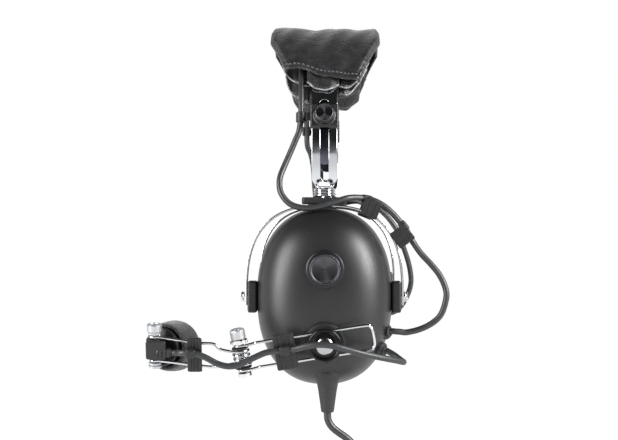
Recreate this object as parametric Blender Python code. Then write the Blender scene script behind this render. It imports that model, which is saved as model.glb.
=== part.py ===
"""Two-way radio headset: two ear cups in stirrups, a slotted spring headband and a boom microphone.

Lengths are in millimetres here and become metres when a mesh is made. +X is towards the wearer's
back, +Z is up, and the left cup, which carries the boom, is on -Y. The origin is the middle of the
head pad's underside. Inside an ear cup, a place is given as (x, out, z): out runs from the cup's
pivot plane away from the head, and z is measured from the cup's pivot.
"""

import math

import bmesh
import bpy
from mathutils import Vector

METRES = 0.001
GAP = 0.3  # between pieces that touch
RUNNING = 0.4  # around a screw or pin in its hole

# Headband: everything on it lies on arcs about one centre line, parallel to X
SEAT_RADIUS = 54.0  # underside of the head pad
BAND_RADIUS = 73.5  # inner face of the spring band
BAND_THICKNESS = 1.5
BAND_HALF_WIDTH = 7.7
BAND_END = 10.5  # degrees above the centre line
CUSHION_THICKNESS = 18.7
CUSHION_HALF_WIDTH = 30.0
CUSHION_END = 22.0
COVER_THICKNESS = 4.0
COVER_HALF_WIDTH = 34.0
COVER_END_HALF_WIDTH = 22.0
COVER_END = 32.0
COVER_WALL = 3.0
COVER_CHANNEL = 3.0  # room above the band for the sliding arms

# Slotted arms and their clamps
ARM_CLEARANCE = 1.2
ARM_THICKNESS = 1.5
ARM_TOP = 37.0
ARM_FOOT = -16.6
SLOT_HALF_WIDTH = 2.55
SLOT_TOP = 23.7
SLOT_BOTTOM = -13.4
CLAMP_ANGLE = 15.3
CLAMP_HALF_LENGTH = 7.25
CLAMP_WALL = 2.0
CLAMP_SIDE_WALL = 0.7
CLAMP_SCREW_RADIUS = 1.9
CLAMP_KNOB_RADIUS = 6.3
CLAMP_KNOB_HEIGHT = 6.0

# Swivel below each arm
FOOT_REACH = 5.5  # from the swivel's axis to the end of the arm's foot
FOOT_HALF_WIDTH = 5.0
SWIVEL_BOLT_RADIUS = 2.0
SWIVEL_NUT_RADIUS = 3.2
SWIVEL_NUT_HEIGHT = 2.8
SPRING_RADIUS = 6.5
SPRING_HEIGHT = 4.8
SPRING_RIBS = 3
SADDLE_HALF_LENGTH = 13.5
SADDLE_HALF_DEPTH = 6.0
SADDLE_HEIGHT = 4.2

# Ear cups
CUP_OFFSET = 79.5  # pivot plane, from the middle of the head
DOME_HALF_WIDTH = 40.5
DOME_HALF_HEIGHT = 52.8
DOME_RIM = -8.0
DOME_DEPTH = 38.0
DOME_WALL = 2.2
DOME_EXPONENT = 2.3  # outline
CROWN_EXPONENT = 2.8  # how square the dome's shoulder is
DOME_SIDES = 32
PLATE_THICKNESS = 2.7
PLATE_SHARE = 0.985
SPEAKER_HOLE = 17.0
SPEAKER_RADIUS = 19.5
SEAL_THICKNESS = 16.7
SEAL_INSET = 1.6
SEAL_BREADTH = 19.5

# Stirrups and pivots
STIRRUP_THICKNESS = 1.3
STIRRUP_HALF_DEPTH = 4.0
STIRRUP_EXPONENT = 2.7
STIRRUP_TAIL = 5.0
CUP_SWEEP = 0.5  # clearance above the dome as the cup tilts
PIVOT_GAP = 5.8  # between the dome's side and the stirrup, for the pivot block
PIVOT_BLOCK_HALF_HEIGHT = 9.5
PIVOT_BLOCK_HALF_DEPTH = 6.0
PIVOT_SCREW_RADIUS = 1.6
PIVOT_HEAD_RADIUS = 3.2
PIVOT_HEAD_HEIGHT = 2.4
CLIP_THICKNESS = 2.0
CABLE_RADIUS = 1.85
BAND_CABLE_RADIUS = 76.1  # the cable's arc over the head, beside the band
BAND_CABLE_X = -14.2

# Volume control
KNOB_PLACE = (0.8, 17.5)
KNOB_RADIUS = 11.3
KNOB_HEIGHT = 9.1
KNOB_CLEARANCE = 0.9
POT_RADIUS = 8.0
POT_HEIGHT = 10.0
BUSHING_RADIUS = 3.4
SHAFT_RADIUS = 2.9

# Boom: places on it are (p, q, t), forwards, up and outwards from the middle of its mount
BOOM_TILT = math.radians(12.0)
BOOM_SLOPE = math.radians(9.3)
BOOM_PLACE = (0.7, 28.3, -25.2)
MOUNT_RADIUS = 12.0
MOUNT_THICKNESS = 3.0
MOUNT_STEM_RADIUS = 4.0
WIRE_RADIUS = 0.9
WIRE_HALF_GAP = 7.4
WIRE_BACK = 28.5
BOOM_REACH = 49.0
PLATE_RADIUS = 10.0
PLATE_HEIGHT = 2.6
BOOM_SCREW_RADIUS = 5.5
BOOM_SCREW_HEIGHT = 2.6
EYE_RADIUS = 2.7
ELBOW_BOLT_RADIUS = 1.5
ELBOW_WASHER_RADIUS = 5.0
COIL_RADIUS = 4.4
COIL_TURNS = 3.5
COIL_TOP = 4.6
COIL_BOTTOM = -4.8
THUMB_NUT_RADIUS = 4.4
THUMB_NUT_HEIGHT = 5.6
MIC_PLACE = (98.9, -2.4)
MIC_HALF_GAP = 7.1
MIC_TURN = math.radians(64.0)  # of the microphone's face from +X towards the mouth
MIC_BODY_RADIUS = 11.5
MIC_BODY_DEPTH = 10.0
MIC_STANDOFF = 6.6
FOAM_RADIUS = 15.0
FOAM_DEPTH = 22.0

# Lead: gland under the left cup, then a hanging coil and a plug
GLAND_PLACE = (2.0, 12.0)
GLAND_TOP = -42.0
GLAND_LENGTH = 26.0
LEAD_RADIUS = 2.25
COIL_CENTRE = (19.0, 12.0, -270.0)
COIL_MID_RADIUS = 25.0
COIL_HALF_SECTION = 7.0
PLUG_RADIUS = 7.0
PLUG_LENGTH = 58.0

# Places that follow from the sizes above
BAND_TOP = BAND_RADIUS + BAND_THICKNESS
ARM_RADIUS = BAND_TOP + ARM_CLEARANCE
ARM_OUTER = ARM_RADIUS + ARM_THICKNESS
COVER_INNER = ARM_OUTER + COVER_CHANNEL - ARM_CLEARANCE
STIRRUP_RISE = math.hypot(DOME_HALF_HEIGHT, DOME_RIM) + CUP_SWEEP
STIRRUP_TOP = STIRRUP_RISE + STIRRUP_THICKNESS
STIRRUP_INNER = DOME_HALF_WIDTH + PIVOT_GAP
STIRRUP_OUTER = STIRRUP_INNER + STIRRUP_THICKNESS
BAND_CENTRE_Z = -SEAT_RADIUS
SADDLE_BOTTOM = STIRRUP_TOP + GAP
SADDLE_TOP = SADDLE_BOTTOM + SADDLE_HEIGHT
FOOT_BOTTOM = SADDLE_TOP + GAP + SPRING_HEIGHT + GAP
PIVOT_Z = BAND_CENTRE_Z + ARM_OUTER * math.sin(math.radians(ARM_FOOT)) - FOOT_BOTTOM - ARM_THICKNESS / 2
WIRE_OUT = MOUNT_THICKNESS + GAP + WIRE_RADIUS  # plane of the boom's wires, outwards from its mount
BOOM_AIM = Vector((0, -math.cos(BOOM_TILT), -math.sin(BOOM_TILT)))
BOOM_UP = Vector((0, -math.sin(BOOM_TILT), math.cos(BOOM_TILT)))
BOOM_FORWARD = Vector((-1, 0, 0))

SIDES = (("left", -1), ("right", 1))
ENDS = (("front", -1), ("rear", 1))

MATERIALS = {
    "black_plastic": ((0.035, 0.035, 0.038), 0.45, 0.0),
    "chrome": ((0.62, 0.62, 0.63), 0.18, 1.0),
    "leather": ((0.022, 0.022, 0.023), 0.6, 0.0),
    "foam": ((0.015, 0.015, 0.016), 0.95, 0.0),
    "rubber": ((0.03, 0.03, 0.032), 0.55, 0.0),
}


def clear_scene():
    for obj in list(bpy.data.objects):
        bpy.data.objects.remove(obj)


def material(name):
    """The Principled material of this name, made once."""
    found = bpy.data.materials.get(name)
    if found:
        return found
    colour, roughness, metallic = MATERIALS[name]
    made = bpy.data.materials.new(name)
    made.use_nodes = True
    shader = made.node_tree.nodes["Principled BSDF"]
    shader.inputs["Base Color"].default_value = (*colour, 1.0)
    shader.inputs["Roughness"].default_value = roughness
    shader.inputs["Metallic"].default_value = metallic
    return made


def body(name, place=(0, 0, 0)):
    """An empty on the body's joint axis, for its pieces to hang on."""
    empty = bpy.data.objects.new(name, None)
    empty.empty_display_size = 0.01
    empty.location = Vector(place) * METRES
    bpy.context.scene.collection.objects.link(empty)
    return empty


def cup_point(sign, place):
    """World place, in millimetres, of (x, out, z) in the cup on this side: sign -1 left, +1 right."""
    x, out, z = place
    return Vector((x, sign * (CUP_OFFSET + out), PIVOT_Z + z))


def cup_direction(sign, direction):
    x, out, z = direction
    return Vector((x, sign * out, z)).normalized()


def arc_point(sign, x, radius, degrees):
    """World place at this radius and angle above the headband's centre line."""
    angle = math.radians(degrees)
    return Vector((x, sign * radius * math.cos(angle), BAND_CENTRE_Z + radius * math.sin(angle)))


def across(direction):
    """Two unit vectors square to a direction."""
    helper = Vector((0, 0, 1)) if abs(direction.z) < 0.9 else Vector((1, 0, 0))
    first = direction.cross(helper).normalized()
    return first, direction.cross(first).normalized()


def add(name, rings, owner, finish, closed=False):
    """A solid through rings of equal length: its ends are capped, or joined where closed is set."""
    bm = bmesh.new()
    origin = owner.location if owner else Vector()
    rows = [[bm.verts.new(Vector(p) * METRES - origin) for p in ring] for ring in rings]
    count = len(rows[0])
    pairs = list(zip(rows, rows[1:]))
    if closed:
        pairs.append((rows[-1], rows[0]))
    for low, high in pairs:
        for i in range(count):
            j = (i + 1) % count
            bm.faces.new((low[i], low[j], high[j], high[i]))
    if not closed:
        bm.faces.new(list(reversed(rows[0])))
        bm.faces.new(rows[-1])
    bmesh.ops.recalc_face_normals(bm, faces=bm.faces)
    mesh = bpy.data.meshes.new(name)
    bm.to_mesh(mesh)
    bm.free()
    mesh.shade_smooth()
    mesh.set_sharp_from_angle(angle=math.radians(35))
    obj = bpy.data.objects.new(name, mesh)
    obj.data.materials.append(material(finish))
    obj.parent = owner
    bpy.context.scene.collection.objects.link(obj)
    return obj


def turned(name, profile, start, direction, owner, finish, sides=16, closed=False):
    """A solid of revolution from (radius, distance along) pairs."""
    first, second = across(direction)
    rings = []
    for radius, along in profile:
        centre = start + direction * along
        ring = []
        for i in range(sides):
            angle = 2 * math.pi * i / sides
            ring.append(centre + (first * math.cos(angle) + second * math.sin(angle)) * radius)
        rings.append(ring)
    return add(name, rings, owner, finish, closed)


def superellipse(half_width, half_height, exponent, count):
    """Outline points (x, z), anticlockwise."""
    points = []
    for i in range(count):
        angle = 2 * math.pi * (i + 0.5) / count
        c, s = math.cos(angle), math.sin(angle)
        x = math.copysign(abs(c) ** (2 / exponent), c) * half_width
        z = math.copysign(abs(s) ** (2 / exponent), s) * half_height
        points.append((x, z))
    return points


def chamfered(half_a, half_b, chamfer):
    """Corners of a rectangle with cut corners, anticlockwise."""
    a, b, c = half_a, half_b, chamfer
    return [(a, b - c), (a - c, b), (c - a, b), (-a, b - c), (-a, c - b), (c - a, -b), (a - c, -b), (a, c - b)]


def hide(cutter):
    cutter.hide_render = True
    cutter.display_type = "WIRE"


def cut(obj, cutter, operation="DIFFERENCE"):
    modifier = obj.modifiers.new(cutter.name, "BOOLEAN")
    modifier.operation = operation
    modifier.solver = "EXACT"
    modifier.object = cutter
    hide(cutter)


def bore(obj, name, radius, start, direction, length, owner, sides=12):
    """Cuts a round hole that begins at start."""
    profile = [(radius, 0), (radius, length)]
    cut(obj, turned(name, profile, start, direction, owner, "chrome", sides))


def tube(name, points, radius, owner, finish, resolution=2, smooth=0):
    """A round bar along points, with its ends filled; smooth adds that many points to each span."""
    places = [Vector(p) for p in points]
    if smooth:
        places = smoothed(places, smooth)
    curve = bpy.data.curves.new(name, "CURVE")
    curve.dimensions = "3D"
    curve.bevel_depth = radius * METRES
    curve.bevel_resolution = resolution
    curve.use_fill_caps = True
    spline = curve.splines.new("POLY")
    spline.points.add(len(places) - 1)
    origin = owner.location if owner else Vector()
    for point, place in zip(spline.points, places):
        point.co = (*(place * METRES - origin), 1)
    obj = bpy.data.objects.new(name, curve)
    curve.materials.append(material(finish))
    obj.parent = owner
    bpy.context.scene.collection.objects.link(obj)
    return obj


def smoothed(points, steps):
    """A Catmull-Rom curve through points, with this many spans between each two."""
    ends = [points[0] * 2 - points[1]] + list(points) + [points[-1] * 2 - points[-2]]
    found = []
    for a, b, c, d in zip(ends, ends[1:], ends[2:], ends[3:]):
        for i in range(steps):
            t = i / steps
            linear = (c - a) * t
            square = (a * 2 - b * 5 + c * 4 - d) * t * t
            cube = (b * 3 - a - c * 3 + d) * t * t * t
            found.append(b + (linear + square + cube) / 2)
    return found + [points[-1]]


def crown(share):
    """How far out the dome's surface lies where its outline is this share of full size."""
    return DOME_RIM + DOME_DEPTH * (1 - share**CROWN_EXPONENT) ** (1 / CROWN_EXPONENT)


# Head pad and spring band


def arc_sweep(name, section, start, end, steps, owner, finish):
    """Sweeps a closed section over the head; section(angle) gives (x, radius) pairs at an angle in degrees."""
    rings = []
    for i in range(steps + 1):
        degrees = start + (end - start) * i / steps
        rings.append([arc_point(-1, x, radius, degrees) for x, radius in section(degrees)])
    return add(name, rings, owner, finish)


def end_share(degrees, end, reach):
    """0 at the end of an arc and 1 from reach degrees up it, on either side of the head."""
    up = min(degrees, 180 - degrees) - end
    return min(max(up / reach, 0.0), 1.0)


def cushion_section(degrees):
    share = end_share(degrees, CUSHION_END, 24.0)
    half = CUSHION_HALF_WIDTH * (0.35 + 0.65 * math.sqrt(1 - (1 - share) ** 2))
    middle = SEAT_RADIUS + CUSHION_THICKNESS / 2
    rise = CUSHION_THICKNESS / 2 * (0.7 + 0.3 * share)
    corners = chamfered(half, rise, 4.5)
    return [(x, middle + r) for x, r in corners]


def cover_section(degrees):
    share = end_share(degrees, COVER_END, 24.0)
    half = COVER_END_HALF_WIDTH + (COVER_HALF_WIDTH - COVER_END_HALF_WIDTH) * share
    top = COVER_INNER + COVER_THICKNESS
    inner = half - COVER_WALL
    outer_profile = [(-half, BAND_RADIUS), (-half, top - 2), (2 - half, top), (half - 2, top), (half, top - 2)]
    inner_profile = [(half, BAND_RADIUS), (inner, BAND_RADIUS), (inner, COVER_INNER), (-inner, COVER_INNER)]
    return outer_profile + inner_profile + [(-inner, BAND_RADIUS)]


def band_section(degrees):
    half = BAND_HALF_WIDTH
    return [(-half, BAND_RADIUS), (half, BAND_RADIUS), (half, BAND_TOP), (-half, BAND_TOP)]


def headband(owner):
    band = arc_sweep("headband_spring", band_section, BAND_END, 180 - BAND_END, 40, owner, "chrome")
    for side, sign in SIDES:
        start = arc_point(sign, 0, BAND_RADIUS - 2, CLAMP_ANGLE)
        hole = CLAMP_SCREW_RADIUS + RUNNING
        bore(band, f"band_hole_{side}", hole, start, radial(sign, CLAMP_ANGLE), 6, owner)
    arc_sweep("head_cushion", cushion_section, CUSHION_END, 180 - CUSHION_END, 28, owner, "leather")
    arc_sweep("head_pad_cover", cover_section, COVER_END, 180 - COVER_END, 24, owner, "leather")


def radial(sign, degrees):
    angle = math.radians(degrees)
    return Vector((0, sign * math.cos(angle), math.sin(angle)))


# Clamps and slotted arms


def clamp(side, sign, owner, knob_owner):
    """The sleeve that holds band and arm together, its screw and the cable's clip beside it."""
    outward = radial(sign, CLAMP_ANGLE)
    along = Vector((0, -sign * outward.z, abs(outward.y)))
    sagitta = CLAMP_HALF_LENGTH**2 / (2 * BAND_RADIUS)
    inside_low = BAND_RADIUS - sagitta - GAP
    inside_high = ARM_OUTER + GAP + 0.2
    half_inside = BAND_HALF_WIDTH + GAP
    half_outside = half_inside + CLAMP_SIDE_WALL
    centre = Vector((0, 0, BAND_CENTRE_Z))

    def loop(half, low, high, shift):
        corners = [(-half, low), (half, low), (half, high), (-half, high)]
        return [centre + outward * r + along * shift + Vector((x, 0, 0)) for x, r in corners]

    low, high = inside_low - CLAMP_WALL, inside_high + CLAMP_WALL
    rings = [
        loop(half_outside, low, high, -CLAMP_HALF_LENGTH),
        loop(half_outside, low, high, CLAMP_HALF_LENGTH),
        loop(half_inside, inside_low, inside_high, CLAMP_HALF_LENGTH),
        loop(half_inside, inside_low, inside_high, -CLAMP_HALF_LENGTH),
    ]
    housing = add(f"clamp_housing_{side}", rings, owner, "black_plastic", closed=True)
    hole = CLAMP_SCREW_RADIUS + RUNNING
    bore(housing, f"housing_hole_{side}", hole, centre + outward * ARM_OUTER, outward, 6, owner)
    base = high + GAP
    grip = base + CLAMP_KNOB_HEIGHT
    profile = [
        (CLAMP_SCREW_RADIUS, BAND_RADIUS - 0.3),
        (CLAMP_SCREW_RADIUS, base),
        (CLAMP_KNOB_RADIUS, base),
        (CLAMP_KNOB_RADIUS, grip - 1),
        (CLAMP_KNOB_RADIUS - 1, grip),
    ]
    turned(f"clamp_knob_{side}", profile, centre, outward, knob_owner, "black_plastic", 24)
    clip_low = BAND_CABLE_RADIUS + CABLE_RADIUS + GAP
    near = -half_outside - GAP
    clip = [
        loop_between(centre, outward, along, near - 8, near, clip_low, clip_low + CLIP_THICKNESS, shift)
        for shift in (-2.9, 2.9)
    ]
    add(f"band_cable_clip_{side}", clip, owner, "black_plastic")


def loop_between(centre, outward, along, x0, x1, low, high, shift):
    corners = [(x0, low), (x1, low), (x1, high), (x0, high)]
    return [centre + outward * r + along * shift + Vector((x, 0, 0)) for x, r in corners]


def arm_half_width(degrees):
    """The arm narrows over its last few degrees above the foot."""
    share = min(max((degrees - ARM_FOOT) / 5.0, 0.0), 1.0)
    return FOOT_HALF_WIDTH + (BAND_HALF_WIDTH - FOOT_HALF_WIDTH) * share


def slot_half_width(degrees):
    """The slot's ends are round."""
    round_end = math.degrees(SLOT_HALF_WIDTH / ARM_RADIUS)
    near = min(degrees - SLOT_BOTTOM, SLOT_TOP - degrees) / round_end
    return SLOT_HALF_WIDTH * math.sqrt(max(1 - (1 - min(near, 1.0)) ** 2, 0.002))


def arm(side, sign, owner):
    """Slotted strap that follows the band's arc, with a foot bent outwards over the swivel."""
    rings = []
    steps = 22
    for i in range(steps + 1):
        degrees = ARM_TOP + (ARM_FOOT - ARM_TOP) * i / steps
        half = arm_half_width(degrees)
        if i == 0:
            half -= 2.0
        corners = [(-half, ARM_RADIUS), (half, ARM_RADIUS), (half, ARM_OUTER), (-half, ARM_OUTER)]
        rings.append([arc_point(sign, x, r, degrees) for x, r in corners])
    top = PIVOT_Z + FOOT_BOTTOM + ARM_THICKNESS
    bottom = PIVOT_Z + FOOT_BOTTOM
    half = FOOT_HALF_WIDTH
    inner_y = rings[-1][0].y * sign
    outer_y = rings[-1][2].y * sign
    bend = [(inner_y, bottom), (outer_y, top)]
    rings.append(foot_ring(sign, half, bend[0], bend[1]))
    end = CUP_OFFSET + FOOT_REACH
    for y in (CUP_OFFSET, end - 2.0):
        rings.append(foot_ring(sign, half, (y, bottom), (y, top)))
    rings.append(foot_ring(sign, half - 2, (end, bottom), (end, top)))
    strap = add(f"arm_{side}", rings, owner, "chrome")
    slot = []
    for i in range(25):
        degrees = SLOT_TOP + (SLOT_BOTTOM - SLOT_TOP) * i / 24
        half = slot_half_width(degrees)
        low, high = ARM_RADIUS - 2, ARM_OUTER + 2
        corners = [(-half, low), (half, low), (half, high), (-half, high)]
        slot.append([arc_point(sign, x, r, degrees) for x, r in corners])
    cut(strap, add(f"arm_slot_{side}", slot, owner, "chrome"))
    hole_start = Vector((0, sign * CUP_OFFSET, bottom - 2))
    hole = SWIVEL_BOLT_RADIUS + RUNNING
    bore(strap, f"arm_hole_{side}", hole, hole_start, Vector((0, 0, 1)), ARM_THICKNESS + 4, owner)


def foot_ring(sign, half, low, high):
    """A cross-section of the foot: low is its underside and high its upper side, as (y, z)."""
    corners = [(-half, low), (half, low), (half, high), (-half, high)]
    return [Vector((x, sign * y, z)) for x, (y, z) in corners]


def swivel(side, sign, arm_owner, stirrup_owner):
    """Bolt, nut and stacked spring washers under the foot, and the saddle on the stirrup."""
    start = Vector((0, sign * CUP_OFFSET, PIVOT_Z))
    up = Vector((0, 0, 1))
    spring_low = SADDLE_TOP + GAP
    profile = [(SWIVEL_BOLT_RADIUS, SADDLE_BOTTOM + GAP), (SWIVEL_BOLT_RADIUS, spring_low)]
    rib = SPRING_HEIGHT / SPRING_RIBS
    for i in range(SPRING_RIBS):
        low = spring_low + rib * i
        profile += [(SPRING_RADIUS - 1.2, low), (SPRING_RADIUS, low + rib / 2)]
    foot = FOOT_BOTTOM
    nut = foot + ARM_THICKNESS + GAP
    profile += [(SPRING_RADIUS - 1.2, foot - GAP), (SWIVEL_BOLT_RADIUS, foot - GAP), (SWIVEL_BOLT_RADIUS, nut)]
    profile += [(SWIVEL_NUT_RADIUS, nut), (SWIVEL_NUT_RADIUS, nut + SWIVEL_NUT_HEIGHT)]
    turned(f"swivel_bolt_{side}", profile, start, up, arm_owner, "chrome", 18)
    outline = chamfered(SADDLE_HALF_LENGTH, SADDLE_HALF_DEPTH, 2.0)
    rings = [
        [cup_point(sign, (x, out, z)) for x, out in outline]
        for z in (SADDLE_BOTTOM, SADDLE_TOP)
    ]
    saddle = add(f"stirrup_saddle_{side}", rings, stirrup_owner, "black_plastic")
    hole_start = start + up * (SADDLE_BOTTOM - 2)
    hole = SWIVEL_BOLT_RADIUS + RUNNING
    bore(saddle, f"saddle_hole_{side}", hole, hole_start, up, SADDLE_HEIGHT + 4, stirrup_owner)


# Stirrups


def stirrup(side, sign, owner):
    """Bent strap over the cup, ending below the pivots."""
    steps = 30
    rings = []
    rings.append(stirrup_ring(sign, STIRRUP_OUTER, STIRRUP_INNER, -STIRRUP_TAIL, -STIRRUP_TAIL))
    for i in range(steps + 1):
        angle = math.pi * i / steps
        c, s = math.cos(angle), math.sin(angle)
        wide = math.copysign(abs(c) ** (2 / STIRRUP_EXPONENT), c)
        high = abs(s) ** (2 / STIRRUP_EXPONENT)
        rings.append(
            stirrup_ring(
                sign,
                wide * STIRRUP_OUTER,
                wide * STIRRUP_INNER,
                high * STIRRUP_TOP,
                high * STIRRUP_RISE,
            )
        )
    rings.append(stirrup_ring(sign, -STIRRUP_OUTER, -STIRRUP_INNER, -STIRRUP_TAIL, -STIRRUP_TAIL))
    strap = add(f"stirrup_{side}", rings, owner, "chrome")
    for end, way in ENDS:
        start = cup_point(sign, (way * (STIRRUP_INNER - 2), 0, 0))
        hole = PIVOT_SCREW_RADIUS + RUNNING
        bore(strap, f"stirrup_hole_{end}_{side}", hole, start, Vector((way, 0, 0)), 6, owner)


def stirrup_ring(sign, outer_x, inner_x, outer_z, inner_z):
    half = STIRRUP_HALF_DEPTH
    places = [(outer_x, -half, outer_z), (outer_x, half, outer_z), (inner_x, half, inner_z), (inner_x, -half, inner_z)]
    return [cup_point(sign, place) for place in places]


def pivot(side, sign, end, way, cup_owner, stirrup_owner):
    """Block on the cup's side and the screw that holds the stirrup's end to it."""
    inner = DOME_HALF_WIDTH + GAP
    outer = STIRRUP_INNER - GAP
    outline = chamfered(PIVOT_BLOCK_HALF_DEPTH, PIVOT_BLOCK_HALF_HEIGHT, 1.5)
    rings = [[cup_point(sign, (way * x, out, z)) for out, z in outline] for x in (inner, outer)]
    block = add(f"pivot_block_{end}_{side}", rings, cup_owner, "black_plastic")
    aim = Vector((way, 0, 0))
    start = cup_point(sign, (0, 0, 0))
    bore(block, f"pivot_hole_{end}_{side}", PIVOT_SCREW_RADIUS + RUNNING, start + aim * inner, aim, 9, cup_owner)
    head = STIRRUP_OUTER + GAP
    profile = [
        (PIVOT_SCREW_RADIUS, inner + 1.0),
        (PIVOT_SCREW_RADIUS, head),
        (PIVOT_HEAD_RADIUS, head),
        (PIVOT_HEAD_RADIUS - 0.6, head + PIVOT_HEAD_HEIGHT),
    ]
    turned(f"pivot_screw_{end}_{side}", profile, start, aim, stirrup_owner, "chrome", 14)


def stirrup_clip(name, sign, centre, half_size, turn, owner):
    """Flat clip on the strap's outer edge that also holds the cable; centre is (x, z)."""
    c, s = math.cos(turn), math.sin(turn)
    low = STIRRUP_HALF_DEPTH + GAP
    rings = []
    for out in (low, low + CLIP_THICKNESS):
        ring = []
        for a, b in chamfered(half_size, half_size, 1.2):
            ring.append(cup_point(sign, (centre[0] + a * c - b * s, out, centre[1] + a * s + b * c)))
        rings.append(ring)
    add(name, rings, owner, "black_plastic")


# Ear cups


def dome(side, sign, owner):
    """Moulded shell, open towards the ear; each ring is a smaller outline farther out."""
    outer = [1.0, 0.997, 0.985, 0.955, 0.9, 0.81, 0.69, 0.54, 0.36, 0.16]
    rings = []
    for share in outer:
        outline = superellipse(DOME_HALF_WIDTH * share, DOME_HALF_HEIGHT * share, DOME_EXPONENT, DOME_SIDES)
        rings.append([cup_point(sign, (x, crown(share), z)) for x, z in outline])
    inner_x = DOME_HALF_WIDTH - DOME_WALL
    inner_z = DOME_HALF_HEIGHT - DOME_WALL
    hollow = DOME_DEPTH - DOME_WALL
    inside = []
    for share in outer[::2] + outer[-1:]:
        outline = superellipse(inner_x * share, inner_z * share, DOME_EXPONENT, DOME_SIDES)
        out = DOME_RIM + hollow * (1 - share**CROWN_EXPONENT) ** (1 / CROWN_EXPONENT)
        inside.append([cup_point(sign, (x, out, z)) for x, z in outline])
    shell = add(f"ear_dome_{side}", list(reversed(rings)) + inside, owner, "black_plastic")
    knob_x, knob_z = KNOB_PLACE
    start = cup_point(sign, (knob_x, DOME_DEPTH / 2, knob_z))
    out_way = Vector((0, sign, 0))
    bore(shell, f"knob_hole_{side}", BUSHING_RADIUS + RUNNING, start, out_way, DOME_DEPTH, owner)
    return shell


def ear_side(side, sign, owner):
    """Plate, speaker and seal between the dome and the ear."""
    plate_out = DOME_RIM - GAP
    plate_in = plate_out - PLATE_THICKNESS
    half_width = DOME_HALF_WIDTH * PLATE_SHARE
    half_height = DOME_HALF_HEIGHT * PLATE_SHARE
    edge = superellipse(half_width, half_height, DOME_EXPONENT, 36)
    hole = superellipse(SPEAKER_HOLE, SPEAKER_HOLE, 2.0, 36)
    rings = []
    for outline, out in ((edge, plate_out), (edge, plate_in), (hole, plate_in), (hole, plate_out)):
        rings.append([cup_point(sign, (x, out, z)) for x, z in outline])
    add(f"ear_plate_{side}", rings, owner, "black_plastic", closed=True)
    profile = [
        (SPEAKER_RADIUS, 0.0),
        (SPEAKER_RADIUS, 2.0),
        (SPEAKER_RADIUS - 5, 6.0),
        (SPEAKER_RADIUS - 10, 6.0),
        (SPEAKER_RADIUS - 10, 11.0),
    ]
    start = cup_point(sign, (0, plate_out + GAP, 0))
    turned(f"speaker_{side}", profile, start, Vector((0, sign, 0)), owner, "chrome", 24)
    back = plate_in - GAP
    face = back - SEAL_THICKNESS
    breadth = SEAL_BREADTH
    section = [
        (0.8, back),
        (0.0, back - 3.5),
        (0.6, face + 6),
        (4.0, face + 1.2),
        (breadth * 0.5, face),
        (breadth - 4.0, face + 1.2),
        (breadth - 0.6, face + 6),
        (breadth, back - 3.5),
        (breadth, back),
    ]
    rings = []
    for inset, out in section:
        a = DOME_HALF_WIDTH - SEAL_INSET - inset
        b = DOME_HALF_HEIGHT - SEAL_INSET - 1.2 - inset
        outline = superellipse(a, b, DOME_EXPONENT, 36)
        rings.append([cup_point(sign, (x, out, z)) for x, z in outline])
    add(f"ear_seal_{side}", rings, owner, "leather", closed=True)


def volume(side, sign, cup_owner, knob_owner):
    """Potentiometer inside the dome, with its bushing through the shell, and the knob outside."""
    knob_x, knob_z = KNOB_PLACE
    start = cup_point(sign, (knob_x, 0, knob_z))
    aim = Vector((0, sign, 0))
    face = DOME_RIM + DOME_DEPTH
    top = face - DOME_WALL - 3.6
    back = face + KNOB_CLEARANCE
    profile = [
        (POT_RADIUS, top - POT_HEIGHT),
        (POT_RADIUS, top),
        (BUSHING_RADIUS, top),
        (BUSHING_RADIUS, back + 0.6),
        (SHAFT_RADIUS, back + 0.6),
        (SHAFT_RADIUS, back + KNOB_HEIGHT - 2.5),
    ]
    turned(f"volume_control_{side}", profile, start, aim, cup_owner, "chrome", 20)
    profile = [
        (SHAFT_RADIUS + GAP, back + KNOB_HEIGHT - 2.5 + GAP),
        (SHAFT_RADIUS + GAP, back + 2.0),
        (BUSHING_RADIUS + RUNNING, back + 2.0),
        (BUSHING_RADIUS + RUNNING, back),
        (KNOB_RADIUS, back),
        (KNOB_RADIUS, back + KNOB_HEIGHT - 1.4),
        (KNOB_RADIUS - 1.4, back + KNOB_HEIGHT),
    ]
    turned(f"volume_knob_{side}", profile, start, aim, knob_owner, "black_plastic", 30)


def grommet(name, sign, place, direction, shell, owner, hole_name):
    """Cable bush seated in a hole in the dome."""
    aim = cup_direction(sign, direction)
    start = cup_point(sign, place)
    profile = [(2.6, -4.0), (2.6, 0.6), (4.4, 0.6), (4.0, 3.2), (2.6, 5.6)]
    turned(name, profile, start, aim, owner, "rubber", 16)
    bore(shell, hole_name, 2.6 + GAP, start - aim * 7, aim, 14, owner)


def gland(sign, shell, owner):
    """Oval strain relief under the left dome; the lead leaves it downwards."""
    x0, out0 = GLAND_PLACE
    bottom = GLAND_TOP - GLAND_LENGTH
    sizes = [
        (9.2, 8.0, GLAND_TOP),
        (9.2, 8.0, GLAND_TOP - 4.5),
        (7.4, 6.8, GLAND_TOP - 7.0),
        (6.1, 6.1, GLAND_TOP - 9.5),
        (3.9, 3.9, bottom),
    ]
    rings = []
    for a, b, z in sizes:
        rings.append([cup_point(sign, (x0 + x, out0 + o, z)) for x, o in superellipse(a, b, 2.0, 20)])
    add("lead_strain_relief", rings, owner, "rubber")
    hole = []
    for z in (GLAND_TOP + GAP, GLAND_TOP - 16):
        outline = superellipse(9.2 + GAP, 8.0 + GAP, 2.0, 20)
        hole.append([cup_point(sign, (x0 + x, out0 + o, z)) for x, o in outline])
    cut(shell, add("gland_hole", hole, owner, "chrome"))


# Boom


def boom_point(p, q, t):
    """World place of (forwards, up, outwards) from the middle of the boom's mount."""
    return cup_point(-1, BOOM_PLACE) + BOOM_FORWARD * p + BOOM_UP * q + BOOM_AIM * t


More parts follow.
